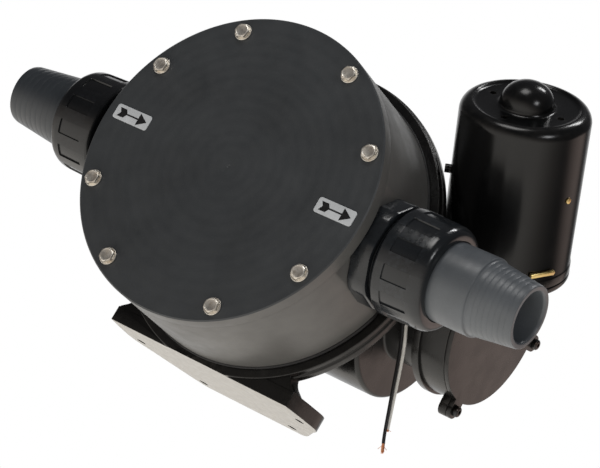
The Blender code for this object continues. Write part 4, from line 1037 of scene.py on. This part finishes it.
def gearbox():
    cen = HOUSE_O
    ears = ((7.5, -77.2), (76.0, 15.0), (-76.0, -15.0))
    hb = prism("gear_housing_body", house_outline(HOUSE_R, MOTOR_FACE), X, 139.0, 164.7, Y, Z, cen, M["cast"], 0.8, 3)
    union(hb, prism("fl", house_outline(HOUSE_R + 2.5, MOTOR_FACE), X, 134.0, 141.0, Y, Z, cen, M["cast"], 0.8, 3))
    for yy, zz in ears:
        o = cen + Y * yy * MM + Z * zz * MM
        d = (Y * yy + Z * zz).normalized()
        union(hb, lathe("ear", cyl(157.0, 164.7, 7.5), X, o, M["cast"], 48, rnd=0.7),
              box("ew", cen + (Y * yy + Z * zz) * 0.86 * MM + X * 160.85 * MM, (15.0, 20.0, 7.7), M["cast"],
                  (X, d.cross(X).normalized(), d), 0.5))
    boolean(hb, prism("hol", house_outline(HOUSE_R - 6.0, MOTOR_FACE - 7.0), X, 144.0, 170.0, Y, Z, cen, M["cast"], 0))
    boolean(hb, cutters([(X, CRANK_O, 120, 150, 12.0, 48), (M_AX, WORM_O, 30, 60, 8.0, 48)] +
                        [(X, cen + Y * a * MM + Z * b * MM, 150, 170, 2.7, 24) for a, b in ears]))
    put(hb, "pump_body", "black_paint", "gearbox_housing")
    cv = prism("gear_cover_plate", house_outline(HOUSE_R, MOTOR_FACE), X, 165.0, 169.2, Y, Z, cen, M["cast"], 0.9, 3)
    for yy, zz in ears:
        o = cen + Y * yy * MM + Z * zz * MM
        d = (Y * yy + Z * zz).normalized()
        union(cv, lathe("ear", cyl(165.0, 169.2, 7.5), X, o, M["cast"], 48, rnd=0.7),
              box("ew", cen + (Y * yy + Z * zz) * 0.86 * MM + X * 167.1 * MM, (15.0, 20.0, 4.2), M["cast"],
                  (X, d.cross(X).normalized(), d), 0.4))
    boolean(cv, cutters([(X, cen + Y * a * MM + Z * b * MM, 160, 175, 2.7, 24) for a, b in ears]))
    put(cv, "pump_body", "black_paint", "gearbox_cover")
    for i, (yy, zz) in enumerate(ears):
        c = cen + Y * yy * MM + Z * zz * MM
        sc = lathe("case_screw_%d" % (i + 1), [(158.0, 0), (158.0, 2.3), (169.5, 2.3), (169.5, 4.6), (172.4, 4.6),
                                               (173.3, 3.9), (173.6, 2.9), (173.6, 0)], X, c, M["black_screw"], 48, rnd=0.25)
        hexa = [(2.0 * math.cos(math.radians(60 * k + 20 * i)), 2.0 * math.sin(math.radians(60 * k + 20 * i))) for k in range(6)]
        boolean(sc, prism("sock", hexa, X, 171.2, 176.0, Y, Z, c, M["black_screw"], 0))
        put(sc, "pump_body", "black_screw", "gearbox_screw_%d" % (i + 1))


def motor():
    o = WORM_O
    f, top = MOTOR_FACE, MOTOR_TOP
    prof = [(f + 8.3, MOTOR_R + 0.1), (f + 8.3, MOTOR_R + 0.8), (f + 14.6, MOTOR_R + 0.8), (f + 15.6, MOTOR_R + 0.45),
            (f + 16.6, MOTOR_R), (top - 9.4, MOTOR_R), (top - 7.6, MOTOR_R - 0.35), (top - 5.6, MOTOR_R - 1.1),
            (top - 3.4, MOTOR_R - 2.5), (top - 1.7, MOTOR_R - 4.4), (top - 0.6, MOTOR_R - 6.4), (top - 0.1, MOTOR_R - 8.4),
            (top, MOTOR_R - 9.2), (top - 0.25, 43.2), (top - 1.2, 42.3), (top - 2.0, 41.0), (top - 2.2, 39.0),
            (top - 2.2, 25.5), (top - 2.0, 23.5), (top - 1.2, 22.4), (top + 0.5, 21.9), (top + 2.6, 21.6),
            (top + 4.5, 21.1), (top + 7.6, 20.0), (top + 10.5, 18.1), (top + 13.2, 15.6), (top + 15.5, 12.3),
            (top + 17.2, 8.5), (top + 18.1, 4.7), (top + 18.5, 0.0)]
    inner = [(top + 15.3, 0.0), (top + 13.0, 8.0), (top + 8.5, 13.0), (top + 3.0, 15.3), (top - 5.5, 15.3),
             (top - 5.5, 44.0), (top - 9.0, MOTOR_R - 3.4), (f + 8.3, MOTOR_R - 3.4)]
    bm = bmesh.new()
    a, u, v = basis(M_AX)
    seg = 192
    rings = []
    for h, r in prof + inner:
        if r < 1e-9:
            rings.append([bm.verts.new(o + a * (h * MM))])
        else:
            rings.append([bm.verts.new(o + a * (h * MM) + (u * math.cos(math.tau * k / seg) +
                                                           v * math.sin(math.tau * k / seg)) * (r * MM)) for k in range(seg)])
    n = len(rings)
    for i in range(n):
        if i == len(prof) - 1:
            continue
        p, q = rings[i], rings[(i + 1) % n]
        for k in range(seg):
            k2 = (k + 1) % seg
            if len(p) == 1:
                bm.faces.new((p[0], q[k], q[k2]))
            elif len(q) == 1:
                bm.faces.new((p[k], p[k2], q[0]))
            else:
                bm.faces.new((p[k], p[k2], q[k2], q[k]))
    can = finish_mesh(bm, "motor_can_body", M["paint"], 40)
    vents = [(M_AX, o + (X * math.cos(math.radians(q)) + N_AX * math.sin(math.radians(q))) * 32.0 * MM,
              top - 12, top + 4, 2.75, 28) for q in (0, 90, 180, 270)]
    boolean(can, cutters(vents), cutters([(LEAD_E, o + M_AX * GROMMET_T * MM, 40, 60, 5.3, 32)]), sharp=40)
    e = X * math.cos(math.radians(TAB_Q)) + N_AX * math.sin(math.radians(TAB_Q))
    side = M_AX.cross(e)
    put(can, "pump_body", "motor_paint", "motor_can")
    ep = lathe("motor_end_cap", [(f + 0.3, 12.0), (f + 0.3, 49.5), (f + 0.9, 51.6), (f + 2.2, 53.2), (f + 4.0, 54.0),
                                 (f + 6.8, 54.0), (f + 8.0, 53.2), (f + 8.0, 49.2), (f + 11.5, 49.2), (f + 11.5, 40.0),
                                 (f + 8.0, 38.0), (f + 8.0, 24.0), (f + 12.5, 22.0), (f + 12.5, 16.3), (f + 3.6, 16.3),
                                 (f + 3.6, 12.0)], M_AX, o, M["paint"], 160, rnd=0.5)
    put(ep, "pump_body", "motor_paint", "motor_end_plate")
    for tag, h0, h1, r1 in (("lower", f + 4.0, f + 12.0, 16.0), ("upper", top - 4.0, top + 5.0, 14.2)):
        b = ball_bearing("motor_bearing_%s_race" % tag, M_AX, o, h0, h1, 5.3, r1, 72)
        put(b, "pump_body", "steel", "motor_bearing_" + tag)
    # armature: stacked laminations with slots, segmented commutator
    core = lathe("core", [(84.0, 5.3), (84.0, 31.0), (146.0, 31.0), (146.0, 5.3)], M_AX, o, M["iron"], 96, rnd=0.4)
    slots = [(M_AX, o + (X * math.cos(math.radians(60 * i)) + N_AX * math.sin(math.radians(60 * i))) * 31.0 * MM,
              80, 150, 3.6, 24) for i in range(6)]
    boolean(core, cutters(slots))
    put(core, "armature", "iron_core", "armature_core")
    cm = bmesh.new()
    bars = 24
    lathe_into(cm, rounded([(156.0, 5.3), (156.0, 15.0), (172.0, 15.0), (172.0, 5.3)], 0.3), M_AX, o, bars * 6,
               radius=lambda h, t: -0.35 if (t / math.tau * bars) % 1.0 < 0.14 and 156.2 < h < 171.8 else 0.0)
    com = finish_mesh(cm, "commutator_bars", M["copper"])
    put(com, "armature", "copper", "commutator")
    for s, tag in ((1, "a"), (-1, "b")):
        b = box("brush_block_" + tag, o + M_AX * 164.0 * MM + X * s * 21.0 * MM, (8.0, 10.0, 10.0), M["carbon"],
                (X, N_AX, M_AX), 0.4)
        put(b, "pump_body", "carbon", "brush_" + tag)
        q0 = 0 if s > 0 else 180
        pts = circle(0, 0, 48.4, 40, -55 + q0, 55 + q0, True) + circle(0, 0, 33.5, 40, 55 + q0, -55 + q0, True)
        mg = prism("magnet_arc_" + tag, pts, M_AX, 78.0, 152.0, X, N_AX, o, M["ferrite"], 0.8, 2)
        put(mg, "pump_body", "ferrite", "field_magnet_" + tag)
    # brass lug: a bent strip with a raised lip and a shallow fold across it
    w = 11.0
    c = o + M_AX * TAB_T * MM + e * (MOTOR_R + 2.2) * MM
    tab = prism("earth_tab", [(-2.4, -1.5), (-2.4, -0.4), (-1.5, 0.7), (-0.6, 0.9), (0.3, 1.45), (1.6, 1.5), (2.4, 0.9),
                              (2.4, -1.5)], side, -w, w, M_AX, e, c, M["brass"], 0.25, 2)
    put(tab, "pump_body", "brass", "motor_tab")
    e = X * math.cos(math.radians(SCREW_Q)) + N_AX * math.sin(math.radians(SCREW_Q))
    sc = lathe("can_screw", [(MOTOR_R + 0.3, 0), (MOTOR_R + 0.3, 2.6), (MOTOR_R + 1.3, 2.45), (MOTOR_R + 1.8, 1.7),
                             (MOTOR_R + 2.0, 0.8), (MOTOR_R + 2.0, 0)], e, o + M_AX * SCREW_T * MM, M["brass"], 48, rnd=0.2)
    boolean(sc, box("cut", o + M_AX * SCREW_T * MM + e * (MOTOR_R + 2.2) * MM, (0.6, 8.0, 1.4), M["brass"],
                    (e, M_AX.cross(e), M_AX), 0))
    put(sc, "pump_body", "brass", "motor_screw")


# ---------------------------------------------------------------- floor, light
def area(name, loc, target, size, power, color=(1, 1, 1), shape='RECTANGLE', size_y=None, camera=False):
    l = bpy.data.lights.new(name, 'AREA')
    l.shape = shape
    l.size = size
    if shape == 'RECTANGLE':
        l.size_y = size_y or size
    l.energy = power
    l.color = color
    ob = bpy.data.objects.new(name, l)
    bpy.context.scene.collection.objects.link(ob)
    ob.location = loc
    ob.rotation_mode = 'QUATERNION'
    ob.rotation_quaternion = (Vector(target) - Vector(loc)).to_track_quat('-Z', 'Y')
    ob.visible_camera = camera
    return ob


def studio():
    sc = bpy.context.scene
    sc.view_settings.view_transform = 'Standard'
    sc.view_settings.look = 'None'
    w = bpy.data.worlds.new("studio")
    sc.world = w
    w.use_nodes = True
    nt = w.node_tree
    nt.nodes.clear()
    out = nt.nodes.new("ShaderNodeOutputWorld")
    bg = nt.nodes.new("ShaderNodeBackground")
    white = nt.nodes.new("ShaderNodeBackground")
    white.inputs[0].default_value = (1, 1, 1, 1)
    white.inputs[1].default_value = 1.0
    mix = nt.nodes.new("ShaderNodeMixShader")
    lp = nt.nodes.new("ShaderNodeLightPath")
    tc = nt.nodes.new("ShaderNodeTexCoord")
    sep = nt.nodes.new("ShaderNodeSeparateXYZ")
    nt.links.new(tc.outputs["Generated"], sep.inputs[0])
    # bright table and backdrop below and behind, darker room above and in front
    ramp = nt.nodes.new("ShaderNodeValToRGB")
    ramp.color_ramp.elements[0].position = 0.0
    ramp.color_ramp.elements[0].color = (1.30, 1.25, 1.17, 1)
    ramp.color_ramp.elements[1].position = 1.0
    ramp.color_ramp.elements[1].color = (0.10, 0.10, 0.105, 1)
    for pos, col in ((0.25, (1.05, 1.0, 0.93)), (0.40, (0.42, 0.38, 0.35)), (0.50, (0.15, 0.14, 0.135)),
                     (0.60, (0.05, 0.05, 0.052))):
        e = ramp.color_ramp.elements.new(pos)
        e.color = (col[0], col[1], col[2], 1)
    mr = nt.nodes.new("ShaderNodeMapRange")
    mr.inputs["From Min"].default_value = -1.0
    mr.inputs["From Max"].default_value = 1.0
    nt.links.new(sep.outputs["Z"], mr.inputs["Value"])
    nt.links.new(mr.outputs[0], ramp.inputs[0])
    # white cyclorama behind the object
    dot = nt.nodes.new("ShaderNodeVectorMath")
    dot.operation = 'DOT_PRODUCT'
    nt.links.new(tc.outputs["Generated"], dot.inputs[0])
    dot.inputs[1].default_value = (-0.515, 0.838, 0.176)
    back = nt.nodes.new("ShaderNodeMapRange")
    back.interpolation_type = 'SMOOTHSTEP'
    back.inputs["From Min"].default_value = 0.72
    back.inputs["From Max"].default_value = 0.93
    nt.links.new(dot.outputs["Value"], back.inputs["Value"])
    mx = nt.nodes.new("ShaderNodeMix")
    mx.data_type = 'RGBA'
    dot2 = nt.nodes.new("ShaderNodeVectorMath")
    dot2.operation = 'DOT_PRODUCT'
    nt.links.new(tc.outputs["Generated"], dot2.inputs[0])
    dot2.inputs[1].default_value = (0.56, 0.82, 0.05)
    wall = nt.nodes.new("ShaderNodeMapRange")
    wall.interpolation_type = 'SMOOTHSTEP'
    wall.inputs["From Min"].default_value = 0.88
    wall.inputs["From Max"].default_value = 0.97
    nt.links.new(dot2.outputs["Value"], wall.inputs["Value"])
    mw = nt.nodes.new("ShaderNodeMix")
    mw.data_type = 'RGBA'
    nt.links.new(wall.outputs[0], mw.inputs[0])
    nt.links.new(ramp.outputs[0], mw.inputs[6])
    mw.inputs[7].default_value = (1.0, 0.80, 0.72, 1)
    nt.links.new(back.outputs[0], mx.inputs[0])
    nt.links.new(mw.outputs[2], mx.inputs[6])
    mx.inputs[7].default_value = (0.95, 0.95, 0.95, 1)
    nt.links.new(mx.outputs[2], bg.inputs[0])
    bg.inputs[1].default_value = 1.0
    nt.links.new(lp.outputs["Is Camera Ray"], mix.inputs[0])
    nt.links.new(bg.outputs[0], mix.inputs[1])
    nt.links.new(white.outputs[0], mix.inputs[2])
    nt.links.new(mix.outputs[0], out.inputs[0])
    # floor: pale, seen from above only
    bm = bmesh.new()
    seg = 64
    ring = [bm.verts.new((3.2 * math.cos(math.tau * k / seg), 3.2 * math.sin(math.tau * k / seg), -0.0004)) for k in range(seg)]
    f = bm.faces.new(ring)
    f.normal_update()
    if f.normal.z < 0:
        f.normal_flip()
    me = bpy.data.meshes.new("floor")
    bm.to_mesh(me)
    bm.free()
    fl = bpy.data.objects.new("floor", me)
    sc.collection.objects.link(fl)
    m = bpy.data.materials.new("floor_pale")
    m.use_nodes = True
    t = m.node_tree
    b = t.nodes["Principled BSDF"]
    b.inputs["Roughness"].default_value = 0.6
    b.inputs["Emission Color"].default_value = (1.0, 1.0, 0.99, 1.0)
    b.inputs["Emission Strength"].default_value = 0.32
    tcf = t.nodes.new("ShaderNodeTexCoord")
    nz = t.nodes.new("ShaderNodeTexNoise")
    nz.inputs["Scale"].default_value = 40
    t.links.new(tcf.outputs["Object"], nz.inputs["Vector"])
    mxf = t.nodes.new("ShaderNodeMix")
    mxf.data_type = 'RGBA'
    t.links.new(nz.outputs["Fac"], mxf.inputs[0])
    mxf.inputs[6].default_value = (0.80, 0.80, 0.79, 1)
    mxf.inputs[7].default_value = (0.84, 0.84, 0.83, 1)
    t.links.new(mxf.outputs[2], b.inputs["Base Color"])
    tr = t.nodes.new("ShaderNodeBsdfTransparent")
    gm = t.nodes.new("ShaderNodeNewGeometry")
    ms = t.nodes.new("ShaderNodeMixShader")
    t.links.new(gm.outputs["Backfacing"], ms.inputs[0])
    t.links.new(b.outputs[0], ms.inputs[1])
    t.links.new(tr.outputs[0], ms.inputs[2])
    t.links.new(ms.outputs[0], t.nodes["Material Output"].inputs[0])
    me.materials.append(m)
    fl.visible_diffuse = False
    fl.visible_glossy = False
    fl.visible_transmission = False
    fl.visible_shadow = False
    area("key_soft", (-0.35, -1.9, 2.1), (0, -0.05, 0.13), 1.0, 17, (1.0, 0.99, 0.97))
    area("fill_right", (1.9, -1.2, 0.9), (0.1, 0, 0.15), 0.5, 7, (0.97, 0.98, 1.0))
    area("top_strip", (0.25, 0.15, 1.9), (0.1, 0, 0.2), 0.2, 6, (1, 1, 1), size_y=0.5)


leads()
drum()
union_side("outlet", 1, 0.0, M["moulded"])
union_side("inlet", -1, INLET_SHIFT, M["moulded_black"])
valves()
casting()
diaphragm()
crank()
gearbox()
motor()
carried()
studio()
